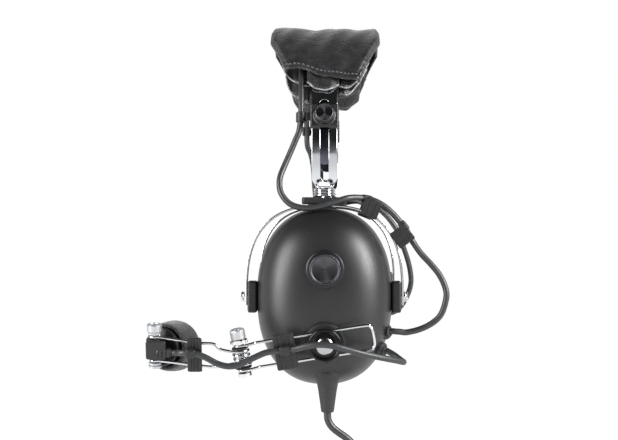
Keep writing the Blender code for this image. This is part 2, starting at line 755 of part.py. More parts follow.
def rear_point(u, v, t):
    """World place along and across the rear length of the boom, which slopes down to the elbow."""
    c, s = math.cos(BOOM_SLOPE), math.sin(BOOM_SLOPE)
    return boom_point(u * c + v * s, v * c - u * s, t)


def eye_points(centre, radius, way_in, aim, turn, steps=9):
    """Three quarters of a turn round a bolt, for the end of a wire; way_in and aim span its plane."""
    points = []
    for i in range(steps + 1):
        angle = turn * i / steps
        points.append(centre + (aim * math.cos(angle) + way_in * math.sin(angle)) * radius)
    return points


def boom_rear(cup_owner, shell, owner, nut_owner):
    """Mount on the dome, the looped wire in it, its clamp plate, and the elbow's bolt and nut."""
    centre = boom_point(0, 0, 0)
    profile = [(MOUNT_STEM_RADIUS, -8.0), (MOUNT_STEM_RADIUS, 0), (MOUNT_RADIUS, 0)]
    profile += [(MOUNT_RADIUS, MOUNT_THICKNESS - 0.8), (MOUNT_RADIUS - 0.8, MOUNT_THICKNESS)]
    turned("boom_mount", profile, centre, BOOM_AIM, cup_owner, "black_plastic", 28)
    bore(shell, "boom_mount_hole", MOUNT_STEM_RADIUS + GAP, centre - BOOM_AIM * 10, BOOM_AIM, 14, cup_owner)
    wire_t = WIRE_OUT
    plate = wire_t + WIRE_RADIUS + GAP
    top = plate + PLATE_HEIGHT
    profile = [
        (BOOM_SCREW_RADIUS, MOUNT_THICKNESS + GAP),
        (BOOM_SCREW_RADIUS, plate),
        (PLATE_RADIUS, plate),
        (PLATE_RADIUS, top),
        (BOOM_SCREW_RADIUS, top),
        (BOOM_SCREW_RADIUS - 1.0, top + BOOM_SCREW_HEIGHT * 0.6),
        (BOOM_SCREW_RADIUS - 3.4, top + BOOM_SCREW_HEIGHT),
    ]
    turned("boom_clamp_plate", profile, centre, BOOM_AIM, owner, "black_plastic", 28)

    forward = rear_point(1, 0, 0) - rear_point(0, 0, 0)
    eye_t = wire_t + EYE_RADIUS
    wire = []
    gap = WIRE_HALF_GAP
    turn = 1.5 * math.pi
    upper_eye = eye_points(rear_point(BOOM_REACH, gap, wire_t), EYE_RADIUS, forward, BOOM_AIM, turn)
    lower_eye = eye_points(rear_point(BOOM_REACH, -gap, wire_t), EYE_RADIUS, forward, BOOM_AIM, turn)
    wire += list(reversed(upper_eye))
    wire += [rear_point(BOOM_REACH - 4, gap, eye_t - 0.3), rear_point(BOOM_REACH - 9, gap, wire_t + 0.4)]
    wire += [rear_point(BOOM_REACH - 12, gap, wire_t), rear_point(0, gap, wire_t)]
    wire += [rear_point(4.0 - WIRE_BACK, gap, wire_t), rear_point(1.2 - WIRE_BACK, gap - 1.0, wire_t)]
    wire += [rear_point(-WIRE_BACK, gap - 3.6, wire_t), rear_point(-WIRE_BACK, 3.6 - gap, wire_t)]
    wire += [rear_point(1.2 - WIRE_BACK, 1.0 - gap, wire_t), rear_point(4.0 - WIRE_BACK, -gap, wire_t)]
    wire += [rear_point(0, -gap, wire_t), rear_point(BOOM_REACH - 12, -gap, wire_t)]
    wire += [rear_point(BOOM_REACH - 9, -gap, wire_t + 0.4), rear_point(BOOM_REACH - 4, -gap, eye_t - 0.3)]
    wire += lower_eye
    tube("boom_wire_rear", wire, WIRE_RADIUS, owner, "chrome", resolution=1)

    low = wire_t + WIRE_RADIUS + GAP
    clip = []
    for t in (low, low + CLIP_THICKNESS):
        ring = []
        for a, b in chamfered(6.2, WIRE_HALF_GAP + 3.4, 0.8):
            ring.append(rear_point(23.3 + a, b, t))
        clip.append(ring)
    add("boom_clip_rear", clip, owner, "black_plastic")

    axis = (rear_point(0, 1, 0) - rear_point(0, 0, 0)).normalized()
    elbow = rear_point(BOOM_REACH, 0, wire_t)
    seat = gap + WIRE_RADIUS + GAP
    profile = [
        (ELBOW_WASHER_RADIUS - 1, -seat - 3.0),
        (ELBOW_WASHER_RADIUS - 1, -seat),
        (ELBOW_BOLT_RADIUS, -seat),
        (ELBOW_BOLT_RADIUS, seat),
        (ELBOW_WASHER_RADIUS, seat),
        (ELBOW_WASHER_RADIUS, seat + 2.6),
        (ELBOW_BOLT_RADIUS, seat + 2.6),
        (ELBOW_BOLT_RADIUS, seat + 2.6 + GAP + THUMB_NUT_HEIGHT - 1),
    ]
    turned("elbow_bolt", profile, elbow, axis, owner, "chrome", 16)
    nut_low = seat + 2.6 + GAP
    nut_high = nut_low + THUMB_NUT_HEIGHT
    hole = ELBOW_BOLT_RADIUS + RUNNING
    profile = [(hole, nut_low), (THUMB_NUT_RADIUS, nut_low), (THUMB_NUT_RADIUS, nut_high), (hole, nut_high)]
    turned("elbow_thumb_nut", profile, elbow, axis, nut_owner, "chrome", 24, closed=True)


def boom_front(owner):
    """One wire from the microphone's upper eye, coiled round the elbow's bolt, and back to the lower eye."""
    wire_t = WIRE_OUT
    front_t = wire_t + EYE_RADIUS
    mic_p, mic_q = MIC_PLACE
    upper = mic_q + MIC_HALF_GAP
    lower = mic_q - MIC_HALF_GAP
    forward = BOOM_FORWARD
    turn = 1.5 * math.pi
    upper_eye = eye_points(boom_point(mic_p, upper, wire_t), EYE_RADIUS, forward, BOOM_AIM, turn)
    lower_eye = eye_points(boom_point(mic_p, lower, wire_t), EYE_RADIUS, forward, BOOM_AIM, turn)
    wire = list(reversed(upper_eye))
    wire += [boom_point(mic_p - 4, upper, front_t)]
    wire += [boom_point(73.1, 1.7, front_t + 0.5), boom_point(64.5, 1.1, front_t + 0.8)]
    wire += [boom_point(60.5, -1.9, front_t + 1.2), boom_point(54.0, -3.2, wire_t + COIL_RADIUS)]
    steps = int(COIL_TURNS * 12)
    for i in range(steps + 1):
        angle = 2 * math.pi * COIL_TURNS * i / steps
        v = COIL_TOP + (COIL_BOTTOM - COIL_TOP) * i / steps
        u = BOOM_REACH - COIL_RADIUS * math.sin(angle)
        wire.append(rear_point(u, v, wire_t + COIL_RADIUS * math.cos(angle)))
    wire += [boom_point(54.5, -13.3, wire_t - COIL_RADIUS + 0.2), boom_point(59.0, -13.9, wire_t - 2.2)]
    wire += [boom_point(64.0, -13.5, wire_t + 1.0), boom_point(69.8, -12.6, front_t)]
    wire += [boom_point(79.3, -11.2, front_t + 0.3), boom_point(mic_p - 4, lower + 0.1, front_t)]
    wire += lower_eye
    tube("boom_wire_front", wire, WIRE_RADIUS, owner, "chrome", resolution=1)

    low = front_t + 0.5 + WIRE_RADIUS + GAP
    clip = []
    for t in (low, low + CLIP_THICKNESS):
        clip.append([boom_point(77.0 + a, -4.8 + b, t) for a, b in chamfered(4.7, 10.4, 0.8)])
    add("boom_clip_front", clip, owner, "black_plastic")


def microphone(owner, screw_owner):
    """Bracket round the end bolt with the capsule's housing and cable boot, and the foam muff over it."""
    wire_t = WIRE_OUT
    mic_p, mic_q = MIC_PLACE
    centre = boom_point(mic_p, mic_q, wire_t)
    half = MIC_HALF_GAP - WIRE_RADIUS - GAP
    hole = ELBOW_BOLT_RADIUS + RUNNING
    profile = [(hole, -half), (5.0, -half), (5.0, half), (hole, half)]
    bracket = turned("mic_housing", profile, centre, BOOM_UP, owner, "black_plastic", 20, closed=True)
    aim = Vector((math.cos(MIC_TURN), math.sin(MIC_TURN), 0))
    profile = [(3.6, 3.2), (3.6, MIC_STANDOFF), (MIC_BODY_RADIUS, MIC_STANDOFF)]
    profile += [(MIC_BODY_RADIUS, MIC_STANDOFF + MIC_BODY_DEPTH)]
    cut(bracket, turned("mic_capsule", profile, centre, aim, owner, "black_plastic", 28), "UNION")
    boot_start = boom_point(mic_p - 1.5, mic_q - 1.8, wire_t + 3.6)
    profile = [(2.9, 0), (3.1, 4.0), (2.5, 8.5)]
    boot = turned("mic_boot", profile, boot_start, -BOOM_FORWARD, owner, "rubber", 12)
    cut(bracket, boot, "UNION")
    back = MIC_STANDOFF + 1.2
    floor = MIC_STANDOFF + MIC_BODY_DEPTH + GAP
    end = back + FOAM_DEPTH
    mouth = MIC_BODY_RADIUS + GAP
    profile = [
        (mouth, floor),
        (mouth, back),
        (mouth + 1.2, back),
        (FOAM_RADIUS - 0.6, back + 5),
        (FOAM_RADIUS, back + 11),
        (FOAM_RADIUS - 1.2, back + 16),
        (FOAM_RADIUS - 5.5, end - 1.4),
        (FOAM_RADIUS - 9.0, end),
    ]
    turned("mic_foam", profile, centre, aim, owner, "foam", 28)
    seat = MIC_HALF_GAP + WIRE_RADIUS + GAP
    profile = [
        (4.0, -seat - 3.4),
        (4.0, -seat),
        (ELBOW_BOLT_RADIUS, -seat),
        (ELBOW_BOLT_RADIUS, seat),
        (3.6, seat),
        (3.6, seat + 1.8),
        (THUMB_NUT_RADIUS, seat + 1.8),
        (THUMB_NUT_RADIUS, seat + 6.2),
    ]
    turned("mic_thumb_screw", profile, centre, BOOM_UP, screw_owner, "chrome", 24)


# Cables: their routes are chosen by hand, as (x, out, z) with z from the origin

LEFT_CABLE = [
    (45.0, 6.8, -162.2),
    (49.5, 7.4, -162.8),
    (57.7, 8.0, -160.7),
    (65.1, 8.5, -156.7),
    (69.9, 8.6, -151.3),
    (72.6, 8.5, -142.1),
    (72.0, 7.8, -136.0),
    (68.7, 6.8, -128.8),
    (63.9, 5.4, -122.7),
    (57.9, 3.6, -116.1),
    (53.1, 2.4, -109.2),
    (48.8, 2.0, -101.4),
    (45.8, 2.0, -97.7),
    (40.8, 2.0, -92.0),
    (35.4, 2.0, -87.4),
    (30.2, 1.9, -84.6),
    (25.0, 1.9, -83.2),
    (19.6, 4.8, -82.6),
    (13.8, 8.6, -83.0),
    (7.6, 10.4, -84.9),
    (0.6, 10.4, -87.2),
    (-7.2, 10.4, -88.8),
    (-15.0, 10.2, -88.4),
    (-21.2, 9.5, -85.8),
    (-25.7, 8.0, -80.0),
    (-26.8, 5.6, -74.3),
    (-26.2, 3.2, -69.3),
    (-23.7, 0.2, -62.7),
    (-20.3, -2.0, -54.7),
    (-17.4, -3.2, -47.6),
    (-15.2, -4.4, -41.9),
]
RIGHT_CABLE = [
    (45.0, 6.8, -162.2),
    (49.0, 7.3, -160.7),
    (53.7, 7.6, -155.2),
    (57.8, 7.4, -147.0),
    (59.4, 7.0, -139.4),
    (58.6, 6.4, -131.0),
    (56.6, 5.0, -123.0),
    (53.4, 3.2, -113.8),
    (50.0, 2.2, -104.8),
    (45.8, 2.0, -97.9),
    (40.8, 2.0, -92.0),
    (35.4, 2.0, -87.4),
    (30.2, 1.9, -84.6),
    (25.0, 1.9, -83.2),
    (18.8, 5.2, -82.8),
    (11.0, 9.6, -84.4),
    (2.0, 10.6, -87.6),
    (-6.0, 10.4, -87.2),
    (-11.6, 9.2, -82.4),
    (-15.0, 6.8, -75.6),
    (-16.6, 3.4, -67.4),
    (-16.6, 0.0, -58.6),
    (-15.8, -2.4, -50.2),
    (-14.8, -4.0, -43.8),
]
MIC_CABLE = [
    (-87.0, 35.4, -173.0),
    (-84.6, 37.2, -172.8),
    (-82.0, 40.4, -172.6),
    (-78.5, 41.4, -172.6),
    (-73.7, 41.2, -173.0),
    (-67.8, 40.8, -175.2),
    (-61.4, 40.4, -178.6),
    (-55.2, 40.4, -180.2),
    (-48.9, 40.2, -179.4),
    (-40.8, 39.0, -175.7),
    (-33.4, 37.6, -172.6),
    (-27.2, 37.2, -171.8),
    (-21.6, 37.4, -171.2),
    (-16.4, 38.4, -170.4),
    (-8.6, 40.6, -168.4),
    (-1.7, 41.6, -167.6),
    (5.3, 41.4, -168.3),
    (12.2, 40.0, -170.2),
    (22.7, 36.6, -173.2),
    (33.3, 31.0, -175.9),
    (42.3, 24.0, -178.2),
    (46.8, 18.6, -179.4),
    (46.6, 14.4, -178.6),
    (43.4, 12.4, -176.6),
]
LEAD = [
    (2.0, 12.0, -210.4),
    (2.1, 12.0, -213.8),
    (4.0, 12.0, -218.0),
    (8.0, 12.0, -221.6),
    (12.8, 12.0, -224.9),
    (16.4, 12.0, -228.4),
    (18.4, 12.0, -232.6),
    (19.0, 12.0, -237.6),
]


def route(sign, points):
    """World places of a route whose z is measured from the origin."""
    return [Vector((x, sign * (CUP_OFFSET + out), z)) for x, out, z in points]


def cables(band_owner, boom_owner):
    over = []
    for i in range(17):
        over.append(arc_point(-1, BAND_CABLE_X, BAND_CABLE_RADIUS, 17 + 146 * i / 16))
    whole = route(-1, LEFT_CABLE) + over + list(reversed(route(1, RIGHT_CABLE)))
    tube("crossover_cable", smoothed(whole, 1), CABLE_RADIUS, band_owner, "rubber")
    tube("mic_cable", route(-1, MIC_CABLE), CABLE_RADIUS, boom_owner, "rubber", smooth=2)


def lead(owner):
    """The lead, with the length that doesn't hang in use wound into a tied coil, and its plug."""
    tube("lead", route(-1, LEAD), LEAD_RADIUS, owner, "rubber", smooth=3)
    x, out, z = COIL_CENTRE
    centre = Vector((x, -(CUP_OFFSET + out), z))
    inner = COIL_MID_RADIUS - COIL_HALF_SECTION
    outer = COIL_MID_RADIUS + COIL_HALF_SECTION
    cut_corner = COIL_HALF_SECTION * 0.4
    profile = [
        (inner, -COIL_HALF_SECTION + cut_corner),
        (inner + cut_corner, -COIL_HALF_SECTION),
        (outer - cut_corner, -COIL_HALF_SECTION),
        (outer, -COIL_HALF_SECTION + cut_corner),
        (outer, COIL_HALF_SECTION - cut_corner),
        (outer - cut_corner, COIL_HALF_SECTION),
        (inner + cut_corner, COIL_HALF_SECTION),
        (inner, COIL_HALF_SECTION - cut_corner),
    ]
    turned("lead_coil", profile, centre, Vector((0, -1, 0)), owner, "rubber", 32, closed=True)
    start = centre + Vector((COIL_MID_RADIUS, COIL_HALF_SECTION + GAP + PLUG_RADIUS, COIL_MID_RADIUS))
    profile = [
        (2.8, 0.0),
        (4.4, 12.0),
        (PLUG_RADIUS, 15.0),
        (PLUG_RADIUS, 32.0),
        (PLUG_RADIUS - 1.5, 34.0),
        (3.55, 34.0),
        (3.55, PLUG_LENGTH - 8),
        (2.6, PLUG_LENGTH - 7),
        (3.2, PLUG_LENGTH - 3),
        (1.2, PLUG_LENGTH),
    ]
    turned("lead_plug", profile, start, Vector((0, 0, -1)), owner, "black_plastic", 18)


def build():
    clear_scene()
    band = body("headband")
    headband(band)
    shells, cups = {}, {}
    for side, sign in SIDES:
        clamp_axis = arc_point(sign, 0, BAND_RADIUS, CLAMP_ANGLE)
        clamp(side, sign, band, body(f"clamp_screw_{side}", clamp_axis))
        arm_body = body(f"arm_{side}_body", (0, 0, BAND_CENTRE_Z))
        arm(side, sign, arm_body)
        stirrup_body = body(f"stirrup_{side}_body", (0, sign * CUP_OFFSET, PIVOT_Z + SADDLE_TOP))
        swivel(side, sign, arm_body, stirrup_body)
        stirrup(side, sign, stirrup_body)
        stirrup_clip(f"stirrup_clip_upper_{side}", sign, (28.0, 52.6), 5.4, math.radians(-22), stirrup_body)
        cups[side] = body(f"cup_{side}_body", (0, sign * CUP_OFFSET, PIVOT_Z))
        for end, way in ENDS:
            pivot(side, sign, end, way, cups[side], stirrup_body)
        shells[side] = dome(side, sign, cups[side])
        ear_side(side, sign, cups[side])
        knob_x, knob_z = KNOB_PLACE
        knob_body = body(f"volume_knob_{side}_body", cup_point(sign, (knob_x, 0, knob_z)))
        volume(side, sign, cups[side], knob_body)
        bush = f"crossover_grommet_{side}"
        place, aim = (38.8, 3.8, -20.6), (0.9, 0.43, -0.02)
        grommet(bush, sign, place, aim, shells[side], cups[side], f"crossover_hole_{side}")
        if side == "left":
            stirrup_clip("stirrup_clip_lower_left", sign, (46.6, 36.4), 5.8, math.radians(-52), stirrup_body)
    left = cups["left"]
    grommet("mic_cable_grommet", -1, (37.0, 7.8, -31.8), (0.83, 0.5, -0.28), shells["left"], left, "mic_cable_hole")
    gland(-1, shells["left"], left)
    boom = body("boom_rear_body", boom_point(0, 0, 0))
    wire_t = WIRE_OUT
    elbow = rear_point(BOOM_REACH, 0, wire_t)
    boom_rear(left, shells["left"], boom, body("elbow_nut_body", elbow))
    boom_front(body("boom_front_body", elbow))
    mic_axis = boom_point(*MIC_PLACE, wire_t)
    microphone(body("mic_body", mic_axis), body("mic_screw_body", mic_axis))
    cables(band, boom)
    lead(left)


build()
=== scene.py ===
"""Two-way radio headset: round ear cups in spring stirrups under a leather pad, with a boom microphone.

Lengths are in millimetres and become metres when a mesh is made. +X is towards the wearer's back,
-Y is the left side, which carries the boom, and +Z is up.
"""

import math

import bpy
import numpy as np
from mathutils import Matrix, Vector


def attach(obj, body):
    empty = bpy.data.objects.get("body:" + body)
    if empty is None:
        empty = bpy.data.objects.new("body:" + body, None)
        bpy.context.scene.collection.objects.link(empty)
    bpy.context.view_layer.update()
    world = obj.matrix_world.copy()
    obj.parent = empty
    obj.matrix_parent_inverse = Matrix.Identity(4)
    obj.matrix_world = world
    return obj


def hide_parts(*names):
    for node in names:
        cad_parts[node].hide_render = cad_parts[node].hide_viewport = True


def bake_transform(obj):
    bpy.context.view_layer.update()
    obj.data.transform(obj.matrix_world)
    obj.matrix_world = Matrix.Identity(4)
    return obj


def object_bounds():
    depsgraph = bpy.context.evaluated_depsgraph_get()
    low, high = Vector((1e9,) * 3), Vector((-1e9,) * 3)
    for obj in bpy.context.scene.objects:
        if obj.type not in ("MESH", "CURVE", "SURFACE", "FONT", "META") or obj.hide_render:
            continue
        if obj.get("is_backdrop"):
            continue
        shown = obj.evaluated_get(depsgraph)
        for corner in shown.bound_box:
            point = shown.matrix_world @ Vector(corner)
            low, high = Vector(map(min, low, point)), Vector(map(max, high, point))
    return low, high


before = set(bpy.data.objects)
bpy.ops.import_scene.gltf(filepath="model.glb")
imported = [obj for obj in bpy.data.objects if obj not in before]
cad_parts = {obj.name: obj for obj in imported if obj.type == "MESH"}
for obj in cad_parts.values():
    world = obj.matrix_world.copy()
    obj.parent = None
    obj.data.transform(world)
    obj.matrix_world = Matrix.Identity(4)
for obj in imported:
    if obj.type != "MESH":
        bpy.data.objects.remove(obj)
frame_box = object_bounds()
MM = 0.001

# Studio: a white cove behind and below the headset, a dark room in front of it, and two tall soft boxes.
# The lens is a long one from about a metre away, level with the swivels.
CAMERA_PLACE = (11.0, -1000.0, -96.0)
CAMERA_YAW = 0.022
CAMERA_LENS = 89.2
FLOOR_Z = -345.0
COVE_WHITE = "#ffffff"
FLOOR_WHITE = "#8c8c8c"
FLOOR_GLOW = 0.93
SOFT_BOXES = (  # place, width, height, watts
    ((-790.0, -540.0, 160.0), 400.0, 760.0, 15.0),
    ((780.0, -460.0, 300.0), 400.0, 640.0, 21.0),
)
ROOM_DARK = 0.02  # the ceiling, as a share of the cove's white
FRONT_WHITE = 0.65  # low in front, where the table's light falls on the room


def linear(colour):
    """A hex sRGB colour as linear red, green, blue and alpha."""
    channels = [int(colour[i : i + 2], 16) / 255 for i in (1, 3, 5)]
    return (*[c / 12.92 if c <= 0.04045 else ((c + 0.055) / 1.055) ** 2.4 for c in channels], 1.0)


def node(tree, kind, inputs=(), **settings):
    """Adds a node, sets its properties, and fills its inputs with values or with links from sockets."""
    made = tree.nodes.new("ShaderNode" + kind)
    for key, value in settings.items():
        setattr(made, key, value)
    for key, value in dict(inputs).items():
        if isinstance(value, bpy.types.NodeSocket):
            tree.links.new(value, made.inputs[key])
        else:
            made.inputs[key].default_value = value
    return made


scene = bpy.context.scene
scene.view_settings.view_transform = "Standard"
camera = bpy.data.objects.new("camera", bpy.data.cameras.new("camera"))
camera.location = Vector(CAMERA_PLACE) * MM
camera.rotation_euler = (math.pi / 2, 0, CAMERA_YAW)
camera.data.lens = CAMERA_LENS
camera.data.clip_start = 0.05
scene.collection.objects.link(camera)
scene.camera = camera

world = bpy.data.worlds.new("studio")
world.use_nodes = True
scene.world = world
sky = world.node_tree
sky.nodes.clear()
direction = node(sky, "TexCoord").outputs["Generated"]
parts = node(sky, "SeparateXYZ", {0: direction}).outputs
behind = node(
    sky, "MapRange", {"Value": parts["Y"], "From Min": -0.1, "From Max": 0.6},
    interpolation_type="SMOOTHSTEP",
)
open_sky = node(
    sky, "MapRange", {"Value": parts["Z"], "From Min": 0.85, "From Max": 0.2},
    interpolation_type="SMOOTHSTEP",
)
cove_light = node(sky, "Math", {0: behind.outputs[0], 1: open_sky.outputs[0]}, operation="MULTIPLY")
front = node(
    sky, "MapRange", {"Value": parts["Z"], "From Min": 0.3, "From Max": -0.5, "To Max": FRONT_WHITE},
    interpolation_type="SMOOTHSTEP",
)
bright = node(sky, "Math", {0: cove_light.outputs[0], 1: front.outputs[0]}, operation="MAXIMUM")
room = node(sky, "Math", {0: bright.outputs[0], 1: ROOM_DARK}, operation="MAXIMUM")
seen = node(
    sky, "Math", {0: room.outputs[0], 1: node(sky, "LightPath").outputs["Is Camera Ray"]},
    operation="MAXIMUM",
)
cove = node(sky, "Background", {"Color": linear(COVE_WHITE), "Strength": seen.outputs[0]})
node(sky, "OutputWorld", {"Surface": cove.outputs[0]})

for number, (place, width, height, watts) in enumerate(SOFT_BOXES):
    lamp = bpy.data.lights.new(f"soft_box_{number}", "AREA")
    lamp.shape = "RECTANGLE"
    lamp.size, lamp.size_y, lamp.energy = width * MM, height * MM, watts
    box = bpy.data.objects.new(lamp.name, lamp)
    box.location = Vector(place) * MM
    box.rotation_euler = (Vector((0, -80 * MM, -120 * MM)) - box.location).to_track_quat("-Z", "Y").to_euler()
    scene.collection.objects.link(box)

floor_mesh = bpy.data.meshes.new("floor")
FLOOR_REACH = 40.0  # metres, so that its edge is out of every view
corners = [(x * FLOOR_REACH, y * FLOOR_REACH) for x, y in ((-1, -1), (1, -1), (1, 1), (-1, 1))]
floor_mesh.from_pydata([(x, y, FLOOR_Z * MM) for x, y in corners], [], [(0, 1, 2, 3)])
floor = bpy.data.objects.new("floor", floor_mesh)
scene.collection.objects.link(floor)
# Backlit acrylic, as a product table has: it glows nearly white and takes a faint soft shadow.
table_top = bpy.data.materials.new("opal acrylic, lit from below")
table_top.use_nodes = True
table_shader = table_top.node_tree.nodes["Principled BSDF"]
table_shader.inputs["Base Color"].default_value = linear(FLOOR_WHITE)
table_shader.inputs["Roughness"].default_value = 0.9
table_shader.inputs["Emission Color"].default_value = linear(COVE_WHITE)
table_shader.inputs["Emission Strength"].default_value = FLOOR_GLOW
floor_mesh.materials.append(table_top)
floor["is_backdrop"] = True


# Lead: one cable of soft PVC, 4.5 mm thick, out of a moulded strain relief under the left cup. What isn't
# hanging is wound into a tied coil, and it ends in a moulded plug with a nickel-plated shaft.
LEAD_DIAMETER = 4.5
CUP_Y = -79.5  # the left cup's pivot plane
LEAD_OUT = 12.0
LEAD_ROUTE = (  # x and z; the lead leaves the strain relief downwards and swings towards the back
    (2.0, -196.0),
    (2.0, -203.0),
    (2.0, -210.4),
    (2.1, -213.8),
    (4.0, -218.0),
    (8.0, -221.6),
    (12.8, -224.9),
    (16.4, -228.4),
    (18.4, -232.6),
    (19.0, -236.5),
)
COIL_CENTRE = (19.0, -91.5, -270.0)
COIL_MID_RADIUS = 25.0
COIL_TURNS = 9
PLUG_TOP = (44.0, -77.2, -245.0)


def principled(name, colour, roughness, metallic=0.0, **more):
    """A Principled material and its node tree, with these constant settings on the shader's own sockets."""
    made = bpy.data.materials.new(name)
    made.use_nodes = True
    shader = made.node_tree.nodes["Principled BSDF"]
    shader.inputs["Base Color"].default_value = linear(colour)
    shader.inputs["Roughness"].default_value = roughness
    shader.inputs["Metallic"].default_value = metallic
    for key, value in more.items():
        shader.inputs[key.replace("_", " ").title().replace("Ior", "IOR")].default_value = value
    return made


def mottle(material, low, high, size, detail=3.0, socket="Roughness"):
    """Lets a shader input wander between two values with noise of this grain size in millimetres."""
    tree = material.node_tree
    place = node(tree, "TexCoord").outputs["Object"]
    noise = node(tree, "TexNoise", {"Vector": place, "Scale": 1 / (size * MM), "Detail": detail})
    spread = node(
        tree, "MapRange",
        {"Value": noise.outputs[0], "From Min": 0.3, "From Max": 0.7, "To Min": low, "To Max": high},
    )
    tree.links.new(spread.outputs[0], tree.nodes["Principled BSDF"].inputs[socket])
    return noise.outputs[0]


def relief(material, height, depth, strength=1.0):
    """Bumps a material by a height socket, whose full swing is depth in millimetres."""
    tree = material.node_tree
    bump = node(tree, "Bump", {"Height": height, "Distance": depth * MM, "Strength": strength})
    tree.links.new(bump.outputs[0], tree.nodes["Principled BSDF"].inputs["Normal"])


def skin(name, grid, finish, body, wrap=True, loop=False, ends=(True, True), sharp=35.0):
    """A mesh on a grid of places in millimetres, rows by columns, riding on a body.

    Neighbouring places are joined into four-sided faces. wrap closes each row on itself, loop joins the last
    row to the first, and ends closes the first and last rows with a fan. Faces of a closed skin are turned
    outwards by the sign of its volume. The UV map runs once round each row, and along the rows in metres.
    """
    rows, columns = grid.shape[:2]
    index = np.arange(rows * columns).reshape(rows, columns)
    here, beside = (index, np.roll(index, -1, axis=1)) if wrap else (index[:, :-1], index[:, 1:])
    step = np.concatenate([[0], np.cumsum(np.linalg.norm(np.diff(grid[:, 0], axis=0), axis=1))]) * MM
    u = np.arange(here.shape[1]) / columns
    if loop:
        around = (here, beside, np.roll(beside, -1, axis=0), np.roll(here, -1, axis=0))
        low, high = step, np.append(step[1:], step[-1] + step[-1] / rows)
    else:
        around = (here[:-1], beside[:-1], beside[1:], here[1:])
        low, high = step[:-1], step[1:]
    quads = np.stack(around, axis=-1).reshape(-1, 4)
    u_low, v_low = np.meshgrid(u, low)
    u_high, v_high = np.meshgrid(u + 1 / columns, high)
    uv = np.stack(
        [np.stack([u_low, u_high, u_high, u_low], -1), np.stack([v_low, v_low, v_high, v_high], -1)], -1,
    )
    uv = uv.reshape(-1, 4, 2)
    places = grid.reshape(-1, 3)
    fans, fan_uv = np.empty((0, 3), int), np.empty((0, 3, 2))
    if wrap and not loop:
        for row, wanted in ((0, ends[0]), (rows - 1, ends[1])):
            if not wanted:
                continue
            places = np.vstack([places, grid[row].mean(axis=0)])
            hub = np.full(columns, len(places) - 1)
            ring = (index[row], np.roll(index[row], -1))
            fan = np.stack([hub, *(ring[::-1] if row == 0 else ring)], axis=-1)
            after = (1 / columns, 0) if row == 0 else (0, 1 / columns)
            turn = np.stack([u + 0.5 / columns, u + after[0], u + after[1]], -1)
            fans = np.vstack([fans, fan])
            fan_uv = np.vstack([fan_uv, np.stack([turn, np.full_like(turn, step[row])], -1)])
    closed = wrap and (loop or all(ends))
    corners = places[np.vstack([quads[:, [0, 1, 2]], quads[:, [0, 2, 3]], fans])]
    volume = np.einsum("ij,ij->i", corners[:, 0], np.cross(corners[:, 1], corners[:, 2])).sum()
    if closed and volume < 0:
        quads, uv, fans, fan_uv = quads[:, ::-1], uv[:, ::-1], fans[:, ::-1], fan_uv[:, ::-1]
    mesh = bpy.data.meshes.new(name)
    mesh.from_pydata((places * MM).tolist(), [], quads.tolist() + fans.tolist())
    layer = mesh.uv_layers.new(name="along")
    layer.data.foreach_set(
        "uv", np.concatenate([uv.reshape(-1, 2), fan_uv.reshape(-1, 2)]).astype(np.float32).ravel(),
    )
    mesh.shade_smooth()
    if sharp:
        mesh.set_sharp_from_angle(angle=math.radians(sharp))
    mesh.materials.append(finish)
    made = bpy.data.objects.new(name, mesh)
    scene.collection.objects.link(made)
    if body:
        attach(made, body)
    return made


def fit(piece, slot, *solids):
    """Hides the CAD solids that are named, which the piece stands for; the piece and its slot are not used.
    """
    if solids:
        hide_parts(*solids)


def through(points, spacing):
    """A Catmull-Rom curve through points, read again at places this far apart along it."""
    points = np.asarray(points, float)
    ends = np.vstack([points[0] * 2 - points[1], points, points[-1] * 2 - points[-2]])
    a, b, c, d = (ends[i : len(ends) - 3 + i, None] for i in range(4))
    t = np.linspace(0, 1, 24, endpoint=False)[None, :, None]
    curve = b + ((c - a) * t + (2 * a - 5 * b + 4 * c - d) * t**2 + (3 * b - a - 3 * c + d) * t**3) / 2
    return evenly(np.vstack([curve.reshape(-1, 3), points[-1]]), spacing)


def evenly(line, spacing):
    """The places on a line that lie this far apart along it, ends included."""
    along = np.concatenate([[0], np.cumsum(np.linalg.norm(np.diff(line, axis=0), axis=1))])
    at = np.linspace(0, along[-1], max(2, round(along[-1] / spacing) + 1))
    return np.stack([np.interp(at, along, line[:, k]) for k in range(line.shape[1])], axis=1)


def carried(path, section, first=(0.0, 0.0, 1.0), twist=0.0, scale=None):
    """A closed section, as (a, b) pairs, carried along a path to make a grid of places.

    Each ring is square to the path. Its a direction starts near first and turns only as the path turns,
    plus twist in radians for each millimetre. scale gives the section's size at each place.
    """
    path, section = np.asarray(path, float), np.asarray(section, float)
    ahead = np.gradient(path, axis=0)
    ahead /= np.linalg.norm(ahead, axis=1, keepdims=True)
    side = np.empty_like(path)
    first = np.asarray(first if abs(ahead[0] @ np.asarray(first)) < 0.95 else (1.0, 0.0, 0.0))
    side[0] = first - ahead[0] * (ahead[0] @ first)
    for i in range(1, len(path)):
        side[i] = side[i - 1] - ahead[i] * (ahead[i] @ side[i - 1])
    side /= np.linalg.norm(side, axis=1, keepdims=True)
    other = np.cross(ahead, side)
    along = np.concatenate([[0], np.cumsum(np.linalg.norm(np.diff(path, axis=0), axis=1))])
    turn = twist * along[:, None]
    a = section[:, 0] * np.cos(turn) - section[:, 1] * np.sin(turn)
    b = section[:, 0] * np.sin(turn) + section[:, 1] * np.cos(turn)
    size = np.ones(len(path)) if scale is None else np.asarray(scale, float)
    a, b = a * size[:, None], b * size[:, None]
    return path[:, None] + side[:, None] * a[..., None] + other[:, None] * b[..., None]


